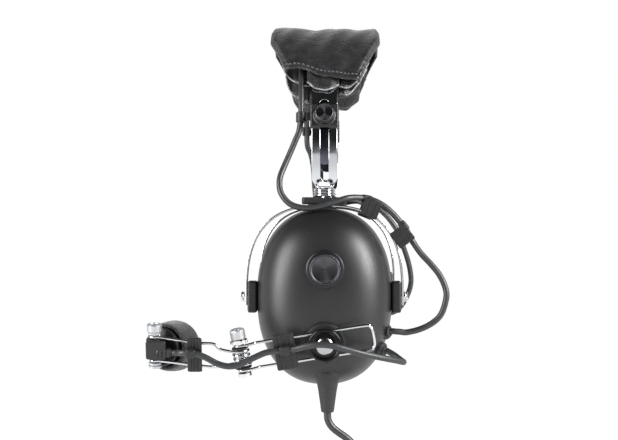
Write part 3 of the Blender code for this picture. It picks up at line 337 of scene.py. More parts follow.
def ring_of(radius, sides, lobes=0, depth=0.0):
    """A circle as (a, b) pairs, with a number of shallow lobes round it."""
    angle = np.arange(sides) * 2 * math.pi / sides
    reach = radius * (1 + depth * np.cos(lobes * angle))
    return np.stack([reach * np.cos(angle), reach * np.sin(angle)], axis=1)


# Soft PVC: an extruded jacket, slightly glossy, that handling leaves unevenly dull.
cable_jacket = principled("soft PVC jacket, extruded", "#212224", 0.42, ior=1.52, specular_ior_level=0.55)
mottle(cable_jacket, 0.36, 0.5, 9.0)

lead_line = np.array([(x, CUP_Y - LEAD_OUT, z) for x, z in LEAD_ROUTE])
slots = [(1, -1), (1, 0), (1, 1), (0, 1), (0, 0), (0, -1), (-1, -1), (-1, 0), (-1, 1)]  # (outwards, away)
clock = np.linspace(0, 1, COIL_TURNS * 36 + 1)
turn_number = clock * COIL_TURNS
slot_at = np.clip(turn_number - 0.5, 0, COIL_TURNS - 1)
slot_low = np.floor(slot_at).astype(int)
slot_high = np.minimum(slot_low + 1, COIL_TURNS - 1)
share = np.clip((slot_at - slot_low - 0.35) / 0.3, 0, 1)
share = (share * share * (3 - 2 * share))[:, None]
slot_table = np.array(slots, float) * LEAD_DIAMETER
slot_place = slot_table[slot_low] * (1 - share) + slot_table[slot_high] * share
START_ANGLE = math.radians(72)
END_SWEEP = math.radians(-48)  # the last turn stops short, where the tail leaves it
angle = START_ANGLE - (2 * math.pi * COIL_TURNS + END_SWEEP) * clock
reach = COIL_MID_RADIUS + slot_place[:, 0]
coil_line = np.stack([
    COIL_CENTRE[0] + reach * np.cos(angle),
    COIL_CENTRE[1] + slot_place[:, 1],
    COIL_CENTRE[2] + reach * np.sin(angle),
], axis=1)
TAIL = [
    (18.0, -83.5, -246.0), (29.0, -79.0, -240.0), (38.0, -77.4, -238.4), (43.2, -77.2, -241.6),
    (44.0, -77.2, -248.0)
]
lead_points = np.vstack([through(lead_line, 3.0), coil_line[3::3], TAIL])
lead_path = through(lead_points, 2.0)
lead = skin("lead_cable", carried(lead_path, ring_of(LEAD_DIAMETER / 2, 14)), cable_jacket, "cup_left")
fit(lead, "cable", "lead", "lead_coil")

# Plug: moulded black grip over a nickel-plated brass shaft with two insulating rings and a ball tip.

# Moulded PVC: duller than the lead, from the mould.
moulded_grip = principled("moulded PVC grip", "#1b1b1d", 0.5, ior=1.5)
mottle(moulded_grip, 0.42, 0.6, 3.0)
# Nickel: a warm bright plate that shows the lathe's haze.
nickel = principled("nickel plated brass, turned", "#c9c7c2", 0.16, 1.0)
mottle(nickel, 0.12, 0.24, 2.0)


def turned(
    name, profile, centre, axis, finish, body, sides=48, wave=None, ends=(True, True), loop=False, sharp=35.0,
):
    """A surface of revolution: (radius, distance) pairs turned about an axis through centre.

    wave(angle, distance), if given, is added to the radius, which makes knurls, flats and lobes.
    """
    axis = np.asarray(axis, float) / np.linalg.norm(axis)
    helper = np.array([0.0, 0.0, 1.0]) if abs(axis[2]) < 0.9 else np.array([1.0, 0.0, 0.0])
    first = np.cross(axis, helper)
    first /= np.linalg.norm(first)
    second = np.cross(axis, first)
    profile = np.asarray(profile, float)
    angle = np.arange(sides) * 2 * math.pi / sides
    radius = np.repeat(profile[:, :1], sides, axis=1)
    if wave:
        radius = radius + wave(angle[None, :], profile[:, 1:])
    spokes = first * np.cos(angle)[:, None] + second * np.sin(angle)[:, None]
    grid = np.asarray(centre, float) + axis * profile[:, 1][:, None, None] + spokes[None] * radius[..., None]
    return skin(name, grid, finish, body, loop=loop, ends=ends, sharp=sharp)


down = (0.0, 0.0, -1.0)
grip_profile = [(2.5, -2.0), (3.1, -1.2), (3.4, 3.0), (4.2, 9.0), (4.6, 12.0), (6.2, 14.2), (7.0, 15.6)]
grip_profile += [(7.0, 24.0), (7.0, 31.0), (6.6, 32.6), (5.6, 34.0), (3.4, 34.0)]


def finger_grooves(angle, at):
    """Eight shallow flutes on the grip's barrel."""
    on_barrel = np.exp(-(((at - 23.5) / 5.5) ** 4))
    return -0.45 * on_barrel * (np.cos(angle * 8) > 0.2)


grip = turned("lead_plug_grip", grip_profile, PLUG_TOP, down, moulded_grip, "cup_left", 64, finger_grooves)
shaft_profile = [(3.5, 33.8), (3.55, 34.2), (3.55, 42.6), (3.2, 42.7), (3.2, 43.5), (3.5, 43.6), (3.5, 48.6)]
shaft_profile += [
    (3.1, 48.7), (3.1, 49.5), (3.4, 49.6), (2.4, 51.4), (2.45, 52.4), (3.2, 54.6), (2.6, 56.4), (1.0, 57.8)
]
shaft = turned("lead_plug_shaft", shaft_profile, PLUG_TOP, down, nickel, "cup_left", 32)
fit(grip, "fittings", "lead_plug")
fit(shaft, "hardware")

# Cable tie: a strip of hook-and-loop tape round the coil where the lead enters it.
# Woven nylon: matt, with a fuzz of loops that lightens its edges.
woven_tape = principled("woven nylon tape", "#141415", 0.85, sheen_weight=0.4)
fuzz = mottle(woven_tape, 0.75, 0.95, 0.8)
relief(woven_tape, fuzz, 0.25)
tie_angle = np.radians(np.linspace(98, 132, 12))
half = 1.5 * LEAD_DIAMETER + 0.5
box_angle = np.arange(28) * 2 * math.pi / 28
box = np.stack([np.cos(box_angle), np.sin(box_angle)], axis=1)
box = np.sign(box) * np.abs(box) ** 0.45 * half
inner_box = box * (half - 0.8) / half
around = np.concatenate([box[None], inner_box[None]])
tie_rows = []
for layer, at in ((0, tie_angle), (1, tie_angle[::-1])):
    reach = COIL_MID_RADIUS + around[layer][None, :, 0]
    tie_rows.append(np.stack([
        COIL_CENTRE[0] + reach * np.cos(at)[:, None],
        np.repeat(COIL_CENTRE[1] + around[layer][None, :, 1], len(at), axis=0),
        COIL_CENTRE[2] + reach * np.sin(at)[:, None],
    ], axis=-1))
tie = skin("lead_tie", np.concatenate(tie_rows), woven_tape, "cup_left", loop=True)
fit(tie, "cable")


# Headband spring: a flat strip of tempered spring steel rolled to the head's curve. Its ends are
# rounded, and run inside the sliding arms, where the arms' slots show them.
BAND_CENTRE = np.array([0.0, 0.0, -54.0])
BAND_RADIUS = 73.5
STRIP_THICKNESS = 1.5
BAND_HALF_WIDTH = 7.7
BAND_END = -6.5  # degrees above the centre line

# Spring steel left blue from tempering, and oiled.
blued_strip = principled("blued spring steel, rolled", "#62656f", 0.2, 1.0)
mottle(blued_strip, 0.14, 0.28, 5.0)


def arc(sign, x, radius, degrees):
    """Places at this radius and angle above the headband's centre line, on the left (-1) or right (1)."""
    x, radius, degrees = np.broadcast_arrays(*map(np.asarray, (x, radius, degrees)))
    angle = np.radians(degrees)
    return np.stack([x, sign * radius * np.cos(angle), BAND_CENTRE[2] + radius * np.sin(angle)], axis=-1)


def rounded(half_a, half_b, radius, steps=4):
    """Outline of a rectangle whose corners are quarter circles, anticlockwise from +a, as (a, b) pairs."""
    radius = min(radius, half_a, half_b)
    quarter = np.linspace(0, math.pi / 2, steps)
    corner = np.stack([np.cos(quarter), np.sin(quarter)], axis=1) * radius
    found = []
    for k, (a, b) in enumerate(((1, 1), (-1, 1), (-1, -1), (1, -1))):
        c, s = round(math.cos(k * math.pi / 2)), round(math.sin(k * math.pi / 2))
        turned_corner = corner @ np.array([[c, s], [-s, c]])
        found.append(turned_corner + [a * (half_a - radius), b * (half_b - radius)])
    return np.vstack(found)


def flats(piece):
    """Weights a piece's normals by face area, so flat faces shade flat beside their rounded edges."""
    piece.modifiers.new("flats", "WEIGHTED_NORMAL").keep_sharp = True
    return piece


degrees = np.linspace(BAND_END, 180 - BAND_END, 260)
end_room = np.minimum(degrees - BAND_END, 180 - BAND_END - degrees)
corner_degrees = math.degrees(BAND_HALF_WIDTH / BAND_RADIUS)
narrow = np.sqrt(np.clip(1 - (1 - np.clip(end_room / corner_degrees, 0, 1)) ** 2, 0.02, 1))
section = rounded(1.0, STRIP_THICKNESS / 2, 0.35)
x = section[None, :, 0] * (BAND_HALF_WIDTH * narrow)[:, None]
radius = BAND_RADIUS + STRIP_THICKNESS / 2 + section[None, :, 1] + 0 * x
band = flats(
    skin("headband_spring_strip", arc(-1, x, radius, degrees[:, None] + 0 * x), blued_strip, "headband"),
)
fit(band, "spring_steel", "headband_spring")


# Clamps: a moulded nylon sleeve on each end of the band that the arm slides through, with a turned aluminium
# knob, anodised black, whose screw pinches the two together. Beside it a moulded clip holds the cable.
SIDES = (("left", -1), ("right", 1))
ARM_INNER = 76.2
CLAMP_ANGLE = 15.3
CLAMP_HALF_LENGTH = 7.25
CLAMP_LOW, CLAMP_HIGH = 70.8, 80.2
BAND_CABLE_X, BAND_CABLE_RADIUS = -14.2, 76.1  # where the cable runs beside the band

# Glass-filled nylon: near black, with the dull even texture of a spark-eroded mould.
moulded_nylon = principled("glass filled nylon, moulded", "#121213", 0.42, ior=1.5, specular_ior_level=0.5)
grain = mottle(moulded_nylon, 0.4, 0.56, 1.1)
relief(moulded_nylon, grain, 0.05)
# Black anodised aluminium, faced on a lathe: the rings spread each highlight into wedges across the face.
spun_black = principled("black anodised aluminium, faced on a lathe", "#4a4a4d", 0.3, 1.0, anisotropic=0.9)
tree = spun_black.node_tree
ring_tangent = node(tree, "Tangent", direction_type="UV_MAP", uv_map="along")
tree.links.new(ring_tangent.outputs[0], tree.nodes["Principled BSDF"].inputs["Tangent"])
knurled_black = principled("black anodised aluminium, knurled", "#27272a", 0.34, 0.7)
mottle(knurled_black, 0.28, 0.42, 0.8)


def block(name, outline, place, low, high, bevel, finish, body):
    """A solid whose outline, a function of how far it is drawn in, runs from low to high with rounded rims.

    place turns the outline's (a, b) pairs and the distance c into places.
    """
    quarter = np.linspace(0, math.pi / 2, 4)
    inset = bevel * (1 - np.sin(quarter))
    rise = bevel * (1 - np.cos(quarter))
    rows = list(zip(inset, low + rise)) + list(zip(inset[::-1], high - rise[::-1]))
    return flats(skin(name, np.stack([place(outline(i), c) for i, c in rows]), finish, body))


def knurl(count, depth, low, high):
    """A wave for turned: a diamond knurl of two crossed threads, between two distances."""

    def wave(angle, at):
        """The mean of two rows of ridges that lean opposite ways, faded out at both ends of the band."""
        lean = (at - low) / (high - low) * 5
        fine = np.abs(np.sin(angle * count / 2 + lean)) + np.abs(np.sin(angle * count / 2 - lean))
        inside = np.clip((at - low) / 0.3, 0, 1) * np.clip((high - at) / 0.3, 0, 1)
        return -depth * inside * (1 - fine / 2)

    return wave


def spun_face(name, centre, axis, radius, height, dish, body, finish=spun_black):
    """A turned disc with a bevelled rim and a dished face, whose height is a share of the radius squared."""
    share = np.linspace(1, 0.03, 24)
    profile = [(radius - 0.7, 0.0), (radius, 0.5), (radius, height - 0.6)]
    profile += [(radius - 0.15, height - 0.2), (radius - 0.5, height)]
    face = [((radius - 0.9) * s, height - 0.15 - dish * (1 - s * s)) for s in share]
    return turned(name, profile + face, centre, axis, finish, body, 96, sharp=50)


for side, sign in SIDES:
    outward = np.array([0.0, sign * math.cos(math.radians(CLAMP_ANGLE)), math.sin(math.radians(CLAMP_ANGLE))])
    along = np.array([0.0, -sign * outward[2], abs(outward[1])])

    def at_clamp(x, out, up, outward=outward, along=along):
        """Places beside the clamp's axis: x, distance from the band's centre, and distance up the band."""
        x, out, up = (np.asarray(v, float)[..., None] for v in np.broadcast_arrays(x, out, up))
        return BAND_CENTRE + x * np.array([1.0, 0, 0]) + out * outward + up * along

    middle = (CLAMP_LOW + CLAMP_HIGH) / 2
    outer_a, outer_b = 8.7, (CLAMP_HIGH - CLAMP_LOW) / 2
    inner_a, inner_low, inner_high = 8.0, 72.8, 78.2
    inner_mid, inner_b = (inner_low + inner_high) / 2, (inner_high - inner_low) / 2
    rows = []
    for a, b, mid, length in (
        (outer_a - 0.5, outer_b - 0.5, middle, -CLAMP_HALF_LENGTH),
        (outer_a, outer_b, middle, -CLAMP_HALF_LENGTH + 0.7),
        (outer_a, outer_b, middle, CLAMP_HALF_LENGTH - 0.7),
        (outer_a - 0.5, outer_b - 0.5, middle, CLAMP_HALF_LENGTH),
        (inner_a, inner_b, inner_mid, CLAMP_HALF_LENGTH),
        (inner_a, inner_b, inner_mid, -CLAMP_HALF_LENGTH),
    ):
        loop = rounded(a, b, 1.2, 5)
        rows.append(at_clamp(loop[:, 0], mid + loop[:, 1], length))
    housing = flats(skin(f"clamp_sleeve_{side}", np.stack(rows), moulded_nylon, "headband", loop=True))
    boss = turned(
        f"clamp_boss_{side}", [(6.9, 79.0), (6.9, 80.6), (6.3, 81.0), (2.0, 81.0)], BAND_CENTRE, outward,
        moulded_nylon, "headband", 64,
    )
    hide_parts(f"clamp_housing_{side}")
    base = BAND_CENTRE + outward * 80.5
    grip = turned(
        f"clamp_grip_{side}",
        [(1.9, -7.0), (1.9, 0.6), (5.4, 0.6), (6.3, 1.1), (6.3, 4.6), (5.6, 5.2), (1.9, 5.2)],
        base, outward, knurled_black, f"clamp_screw_{side}", 240, knurl(44, 0.35, 1.2, 4.5),
    )
    face = spun_face(
        f"clamp_face_{side}", base + outward * 3.9, outward, 5.7, 2.1, 0.5, f"clamp_screw_{side}",
    )
    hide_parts(f"clamp_knob_{side}")
    for piece, slot in ((housing, "shell"), (boss, "shell"), (grip, "knob"), (face, "knob")):
        fit(piece, slot)

    turn = np.radians(np.linspace(-62, 232, 24))
    hook = np.stack([np.cos(turn), np.sin(turn)], axis=1)
    loop = np.vstack([hook * 3.1, hook[::-1] * 1.95])
    # The clip stays above the cable, as its solid does, with a short hook over the cable's back.
    rows = [
        at_clamp(BAND_CABLE_X + loop[:, 0] * k, BAND_CABLE_RADIUS + loop[:, 1] * k, up)
        for k, up in ((0.94, -2.9), (1.0, -2.5), (1.0, 2.5), (0.94, 2.9))
    ]
    clip = flats(skin(f"band_cable_hook_{side}", np.stack(rows), moulded_nylon, "headband"))
    fit(clip, "fittings", f"band_cable_clip_{side}")
    bridge = block(
        f"band_cable_bridge_{side}", lambda i: rounded(1.7 - i, 2.4 - i, 0.5),
        lambda ab, c, at=at_clamp: at(-9.6 + ab[:, 0], c, ab[:, 1]), 76.6, 78.6, 0.3, moulded_nylon,
        "headband",
    )
    fit(bridge, "fittings")


# Sliding arms: a second strip outside the band on each side, slotted for the clamp's screw, narrowed and bent
# outwards at the bottom into a foot over the swivel. The slot's edges are rolled bright.
ARM_TOP, ARM_FOOT = 37.0, -16.6
SLOT_TOP, SLOT_BOTTOM = 23.7, -13.4
SLOT_HALF_WIDTH = 2.55
FOOT_HALF_WIDTH = 5.0
FOOT_Z = -76.15  # middle of the foot's thickness
FOOT_END, FOOT_BEND = 85.0, 2.2
ARM_MIDDLE = ARM_INNER + STRIP_THICKNESS / 2

# Chrome plate on rolled strip: a mirror with a faint haze along the rolling and fine wiping scratches.
chrome_strip = principled("chrome plated spring steel, rolled", "#c9cbce", 0.1, 1.0)
mottle(chrome_strip, 0.07, 0.16, 6.0)

drop = np.radians(np.linspace(ARM_TOP, ARM_FOOT + 1.0, 120))
line = np.stack([ARM_MIDDLE * np.cos(drop), BAND_CENTRE[2] + ARM_MIDDLE * np.sin(drop)], axis=1)
bend_centre = line[-1] + np.array([FOOT_BEND, -0.3])
sweep = np.radians(np.linspace(190, 270, 12))
bend = np.stack([
    bend_centre[0] + FOOT_BEND * np.cos(sweep), FOOT_Z + FOOT_BEND + FOOT_BEND * np.sin(sweep),
], axis=1)
run = np.stack([np.linspace(bend[-1, 0] + 0.5, FOOT_END, 24), np.full(24, FOOT_Z)], axis=1)
arm_line = np.vstack([line[line[:, 1] > bend[0, 1] + 0.4], bend, run])
arm_along = np.concatenate([[0], np.cumsum(np.linalg.norm(np.diff(arm_line, axis=0), axis=1))])
ahead = np.gradient(arm_line, axis=0)
ahead /= np.linalg.norm(ahead, axis=1, keepdims=True)
arm_out = np.stack([-ahead[:, 1], ahead[:, 0]], axis=1)  # a quarter turn from ahead, away from the head


def on_arm(sign, across, along, lift):
    """Places on the arm: across it, along it from the top, and lifted off its middle surface."""
    across, along, lift = np.broadcast_arrays(across, along, lift)
    y = np.interp(along, arm_along, arm_line[:, 0]) + lift * np.interp(along, arm_along, arm_out[:, 0])
    z = np.interp(along, arm_along, arm_line[:, 1]) + lift * np.interp(along, arm_along, arm_out[:, 1])
    return np.stack([across, sign * y, z], axis=-1)


slot_low = math.radians(ARM_TOP - SLOT_TOP) * ARM_MIDDLE
slot_high = math.radians(ARM_TOP - SLOT_BOTTOM) * ARM_MIDDLE
ARM_COLUMNS = 360
slot_mid, slot_half = (slot_low + slot_high) / 2, (slot_high - slot_low) / 2
inner = rounded(SLOT_HALF_WIDTH, slot_half, SLOT_HALF_WIDTH, 24)


def spread(loop, count):
    """The same closed outline with this many evenly spaced points, starting where it crosses +a."""
    whole = np.vstack([loop, loop[:1]])
    at = np.concatenate([[0], np.cumsum(np.linalg.norm(np.diff(whole, axis=0), axis=1))])
    want = np.linspace(0, at[-1], count, endpoint=False)
    return np.stack([np.interp(want, at, whole[:, k]) for k in range(2)], axis=1)


arm_length = arm_along[-1]
outer = spread(rounded(BAND_HALF_WIDTH, arm_length / 2, 2.2, 10), ARM_COLUMNS) + [0, arm_length / 2]
inner = spread(inner, ARM_COLUMNS) + [0, slot_mid]
foot_share = np.clip((outer[:, 1] - (arm_length - 15.5)) / 7.0, 0, 1)
foot_share = foot_share * foot_share * (3 - 2 * foot_share)
outer[:, 0] *= 1 - foot_share * (1 - FOOT_HALF_WIDTH / BAND_HALF_WIDTH)
half = STRIP_THICKNESS / 2
inward = np.linspace(0, 1, 12)
rim = np.radians([90, 60, 30, 0, -30, -60, -90])
for side, sign in SIDES:
    toward = inner - outer
    reach = np.linalg.norm(toward, axis=1, keepdims=True)
    toward /= reach
    columns = []
    for share in inward[1:-1]:
        columns.append((outer + (inner - outer) * share, half))
    for turn in rim:  # round the slot's edge
        lift = half - 0.3 + 0.3 * math.sin(turn) if turn > 0 else -half + 0.3 + 0.3 * math.sin(turn)
        columns.append((inner - toward * 0.3 * (1 - math.cos(turn)), lift))
    for share in inward[-2:0:-1]:
        columns.append((outer + (inner - outer) * share, -half))
    for turn in rim[::-1]:  # and round the outer edge
        lift = half - 0.3 + 0.3 * math.sin(turn) if turn > 0 else -half + 0.3 + 0.3 * math.sin(turn)
        columns.append((outer + toward * 0.3 * (1 - math.cos(turn)), lift))
    grid = np.stack([on_arm(sign, place[:, 0], place[:, 1], lift) for place, lift in columns], axis=1)
    arm = flats(skin(f"arm_strip_{side}", grid, chrome_strip, f"arm_{side}", loop=True))
    fit(arm, "spring_steel", f"arm_{side}")


# Swivels: a bolt through the arm's foot with a stack of sprung washers under it, in chrome, that turns with
# the arm over a moulded saddle on the stirrup. The nut on top is turned steel.
PIVOT_Z = -142.0506
CUP_OFFSET = 79.5
SADDLE_LOW, SADDLE_HIGH = PIVOT_Z + 55.503, -82.348
FOOT_UNDER = FOOT_Z - STRIP_THICKNESS / 2

# Turned screws and nuts: bright, with the lathe's rings just visible as haze.
bright_steel = principled("nickel plated steel, turned", "#cfcfcf", 0.15, 1.0)
mottle(bright_steel, 0.1, 0.22, 0.7)


def cup(sign, x, out, z):
    """Places in the left (-1) or right (1) cup's frame: out from its pivots' plane and up from their axis."""
    x, out, z = np.broadcast_arrays(*(np.asarray(v, float) for v in (x, out, z)))
    return np.stack([x, sign * (CUP_OFFSET + out), PIVOT_Z + z], axis=-1)


for side, sign in SIDES:
    foot = np.array([0.0, sign * CUP_OFFSET, 0.0])
    low, high = SADDLE_HIGH + 0.3, FOOT_UNDER - 0.1
    rib = (high - low) / 3
    waves = np.linspace(0, 3, 49)
    radius = 6.5 - 1.1 * (1 - np.abs(np.sin(waves * math.pi)) ** 0.7)
    profile = [(2.0, low)] + list(zip(radius, low + waves * rib)) + [(2.0, high)]
    spring = turned(
        f"swivel_washers_{side}", profile, foot, (0, 0, 1), chrome_strip, f"arm_{side}", 96, sharp=60,
    )
    top = FOOT_Z + STRIP_THICKNESS / 2
    nut_profile = [
        (2.0, low - 3.4), (2.0, top), (3.1, top), (3.3, top + 0.3), (3.3, top + 2.0), (2.6, top + 2.5),
        (2.0, top + 2.5)
    ]
    nut_profile += [(2.0, top + 2.9), (1.6, top + 3.2)]

    def hexagon(angle, at, top=top):
        """Six flats on the nut: the radius is that of a hexagon between the nut's faces."""
        flat = 1 / np.cos(np.mod(angle, math.pi / 3) - math.pi / 6)
        on_nut = (at > top - 0.1) & (at < top + 2.2)
        return on_nut * 3.0 * (flat - 1.08)

    nut = turned(f"swivel_nut_{side}", nut_profile, foot, (0, 0, 1), bright_steel, f"arm_{side}", 48, hexagon)
    fit(spring, "hardware", f"swivel_bolt_{side}")
    fit(nut, "hardware")
    saddle = block(
        f"saddle_block_{side}", lambda i: rounded(13.5 - i, 6.0 - i, 2.0 - i / 2, 5),
        lambda ab, c, sign=sign: cup(sign, ab[:, 0], ab[:, 1], c - PIVOT_Z),
        SADDLE_LOW, SADDLE_HIGH, 0.7, moulded_nylon, f"stirrup_{side}",
    )
    fit(saddle, "fittings", f"stirrup_saddle_{side}")


# Stirrups: a flat strip of chrome-plated steel bent into an arch over each cup. Its ends drop past the
# pivots, and black clips snapped on it carry the cable round the outside.
STIRRUP_INNER_X, STIRRUP_INNER_Z = 46.3, 53.902
STIRRUP_THICKNESS = 1.3
STIRRUP_HALF_DEPTH = 4.0
STIRRUP_EXPONENT = 2.7
STIRRUP_TAIL = 5.0

angle = np.linspace(0, math.pi, 361)
wide = np.sign(np.cos(angle)) * np.abs(np.cos(angle)) ** (2 / STIRRUP_EXPONENT)
high = np.abs(np.sin(angle)) ** (2 / STIRRUP_EXPONENT)
middle_x = STIRRUP_INNER_X + STIRRUP_THICKNESS / 2
middle_z = STIRRUP_INNER_Z + STIRRUP_THICKNESS / 2
arch = np.stack([wide * middle_x, high * middle_z], axis=1)
drop = np.linspace(-STIRRUP_TAIL, -0.4, 6)
arch = np.vstack([
    np.stack([np.full(6, middle_x), drop], axis=1),
    arch,
    np.stack([np.full(6, -middle_x), drop[::-1]], axis=1),
])
arch = evenly(np.column_stack([arch, np.zeros(len(arch))]), 0.6)[:, :2]
ahead = np.gradient(arch, axis=0)
ahead /= np.linalg.norm(ahead, axis=1, keepdims=True)
arch_out = np.stack([ahead[:, 1], -ahead[:, 0]], axis=1)
arch_section = rounded(STIRRUP_HALF_DEPTH, STIRRUP_THICKNESS / 2, 0.35)
for side, sign in SIDES:
    lift = arch_section[None, :, 1]
    grid = cup(
        sign,
        arch[:, None, 0] + arch_out[:, None, 0] * lift,
        arch_section[None, :, 0] + 0 * lift,
        arch[:, None, 1] + arch_out[:, None, 1] * lift,
    )
    strap = flats(skin(f"stirrup_strip_{side}", grid, chrome_strip, f"stirrup_{side}"))
    fit(strap, "spring_steel", f"stirrup_{side}")

    clips = [("upper", (28.0, 52.6), 5.2, -22.0)]
    if side == "left":
        clips.append(("lower", (46.6, 36.4), 5.6, -52.0))
    for which, (x0, z0), size, lean in clips:
        c, s = math.cos(math.radians(lean)), math.sin(math.radians(lean))

        def on_clip(ab, out, sign=sign, x0=x0, z0=z0, c=c, s=s):
            """Places on a stirrup clip: along the strap, across it, and outwards."""
            return cup(sign, x0 + ab[..., 0] * c - ab[..., 1] * s, out, z0 + ab[..., 0] * s + ab[..., 1] * c)

        body = f"stirrup_{side}"
        plate = block(
            f"stirrup_clip_{which}_plate_{side}", lambda i, size=size: rounded(size - i, size - i, 1.0),
            on_clip, 4.3, 5.9, 0.4, moulded_nylon, body,
        )
        # Two ribs and a raised strap over the cable, along the clip's lower half
        ribs_at = [(-0.62 * size, 0.55), (0.62 * size, 0.55), (0.0, 1.3)]
        for number, (at, width) in enumerate(ribs_at):
            rib = block(
                f"stirrup_clip_{which}_rib_{number}_{side}",
                lambda i, at=at, width=width, size=size: rounded(width - i, size * 0.94 - i, 0.4) + [at, 0],
                on_clip, 5.7, 6.3, 0.2, moulded_nylon, body,
            )
            fit(rib, "fittings")
        fit(plate, "fittings", f"stirrup_clip_{which}_{side}")


# Pivots: a moulded block on each edge of the cup, and outside the stirrup's end a steel strap end, washers
# and a cheese-head screw that clamp it, so the cup tilts stiffly.
for side, sign in SIDES:
    for end, way in (("front", -1), ("rear", 1)):
        block_piece = block(
            f"pivot_pad_{end}_{side}", lambda i: rounded(6.0 - i, 9.5 - i, 1.5),
            lambda ab, c, way=way, sign=sign: cup(sign, way * c, ab[:, 0], ab[:, 1]),
            40.3, 46.0, 1.3, moulded_nylon, f"cup_{side}",
        )
        fit(block_piece, "fittings", f"pivot_block_{end}_{side}")
        head = 47.7
        profile = [
            (1.6, -6.0), (1.6, 0.0), (3.2, 0.0), (3.2, 0.5), (2.0, 0.55), (2.0, 0.8), (2.9, 0.85), (3.1, 1.2)
        ]
        profile += [(3.0, 2.0), (2.5, 2.4), (1.0, 2.5)]
        screw = turned(
            f"pivot_cheese_head_{end}_{side}", profile, cup(sign, way * head, 0, 0), (way, 0, 0),
            bright_steel,
            f"stirrup_{side}", 48,
        )
        fit(screw, "hardware", f"pivot_screw_{end}_{side}")


# Head cushion: foam wrapped in soft black leather, under the band. Its ends taper to rounded tongues, and the
# filling strains the leather into shallow folds between the places where it is tied to the band.
# Chrome-tanned cowhide, pebbled a millimetre across, with a soft sheen; its colour is painted lighter on the
# folds' crests as painted sheen and darker between them as painted shade.
soft_leather = principled(
    "chrome tanned cowhide, dyed and grained", "#161617", 0.46, ior=1.5, sheen_weight=0.18,
)
soft_leather.node_tree.nodes["Principled BSDF"].inputs["Sheen Roughness"].default_value = 0.35
tree = soft_leather.node_tree
place = node(tree, "TexCoord").outputs["Object"]
pebbles = node(
    tree, "TexVoronoi", {"Vector": place, "Scale": 1 / (1.15 * MM), "Randomness": 0.9}, feature="SMOOTH_F1",
)
folds = node(tree, "TexNoise", {"Vector": place, "Scale": 1 / (7.0 * MM), "Detail": 4.0, "Distortion": 0.4})
grain_height = node(
    tree, "Math", {0: pebbles.outputs["Distance"], 1: -0.6, 2: folds.outputs[0]}, operation="MULTIPLY_ADD",
)
relief(soft_leather, grain_height.outputs[0], 0.35)
wear = node(
    tree, "MapRange",
    {"Value": folds.outputs[0], "From Min": 0.35, "From Max": 0.7, "To Min": 0.36, "To Max": 0.58},
)
tree.links.new(wear.outputs[0], tree.nodes["Principled BSDF"].inputs["Roughness"])
# Painted sheen and shade: the base colour is lighter where the folds rise and darker in their hollows.
painted_fold_sheen = node(tree, "Mix", {"Factor": folds.outputs[0]}, data_type="RGBA")
painted_fold_sheen.inputs["A"].default_value = linear("#101011")
painted_fold_sheen.inputs["B"].default_value = linear("#1f1f21")
tree.links.new(painted_fold_sheen.outputs["Result"], tree.nodes["Principled BSDF"].inputs["Base Color"])

# The cushion uses a shaded copy of the cover's leather, with no sheen and less specular, so that it reads
# darker as painted shade.
shaded_leather = soft_leather.copy()
shaded_leather.name = "chrome tanned cowhide, under the cover"
shaded_leather.node_tree.nodes["Principled BSDF"].inputs["Sheen Weight"].default_value = 0.0
shaded_leather.node_tree.nodes["Principled BSDF"].inputs["Specular IOR Level"].default_value = 0.28


def inflate(piece, voxel, pressure, cap):
    """Fills a closed skin as padding.

    It is remeshed, blown up as cloth by pressure, and applied, with each place held within cap millimetres.
    """
    remesh = piece.modifiers.new("remesh", "REMESH")
    remesh.mode, remesh.voxel_size = "VOXEL", voxel * MM
    scene.view_layers[0].update()
    graph = bpy.context.evaluated_depsgraph_get()
    mesh = bpy.data.meshes.new_from_object(piece.evaluated_get(graph))
    piece.modifiers.clear()
    piece.data = mesh
    count = len(mesh.vertices)
    before = np.empty(count * 3)
    mesh.vertices.foreach_get("co", before)
    cloth = piece.modifiers.new("filling", "CLOTH")
    cloth.settings.quality = 6
    cloth.settings.tension_stiffness = cloth.settings.compression_stiffness = 20
    cloth.settings.bending_stiffness = 1.0
    cloth.settings.use_pressure = True
    cloth.settings.uniform_pressure_force = pressure
    cloth.settings.effector_weights.gravity = 0
    cloth.collision_settings.use_collision = False
    for number in range(1, 21):
        scene.frame_set(number)
    mesh = bpy.data.meshes.new_from_object(piece.evaluated_get(bpy.context.evaluated_depsgraph_get()))
    piece.modifiers.clear()
    piece.data = mesh
    after = np.empty(count * 3)
    mesh.vertices.foreach_get("co", after)
    move = (after - before).reshape(-1, 3)
    far = np.linalg.norm(move, axis=1, keepdims=True)
    held = before.reshape(-1, 3) + move * np.minimum(1, cap * MM / np.maximum(far, 1e-9))
    mesh.vertices.foreach_set("co", held.ravel())
    mesh.update()
    scene.frame_set(1)
    mesh.shade_smooth()
    smooth = piece.modifiers.new("finish", "SUBSURF")
    smooth.levels = smooth.render_levels = 1


SEAT_RADIUS = 54.0
CUSHION_END = 32.0
degrees = np.linspace(CUSHION_END, 180.0 - CUSHION_END, 110)
up = np.minimum(degrees, 180 - degrees) - CUSHION_END
tongue = np.sqrt(np.clip(1 - (1 - np.clip(up / 9.0, 0, 1)) ** 2, 0, 1))
half_width = 9.0 + 13.5 * tongue + 2.0 * np.clip(up / 22.0, 0, 1)
half_depth = 4.2 + 4.3 * np.clip(up / 9.0, 0, 1) ** 0.6
turn = np.arange(72) * 2 * math.pi / 72
c = np.sign(np.cos(turn)) * np.abs(np.cos(turn)) ** (2 / 3.0)
s = np.sign(np.sin(turn)) * np.abs(np.sin(turn)) ** (2 / 2.6)
slow, fine = np.sin(degrees[:, None] * 0.35 + 1.5 * c), np.sin(degrees[:, None] * 0.9 + 3 * s)
gather = 1 + 0.012 * slow + 0.006 * fine
x = half_width[:, None] * c[None] * gather
radius = SEAT_RADIUS + 9.2 + half_depth[:, None] * s[None] * gather
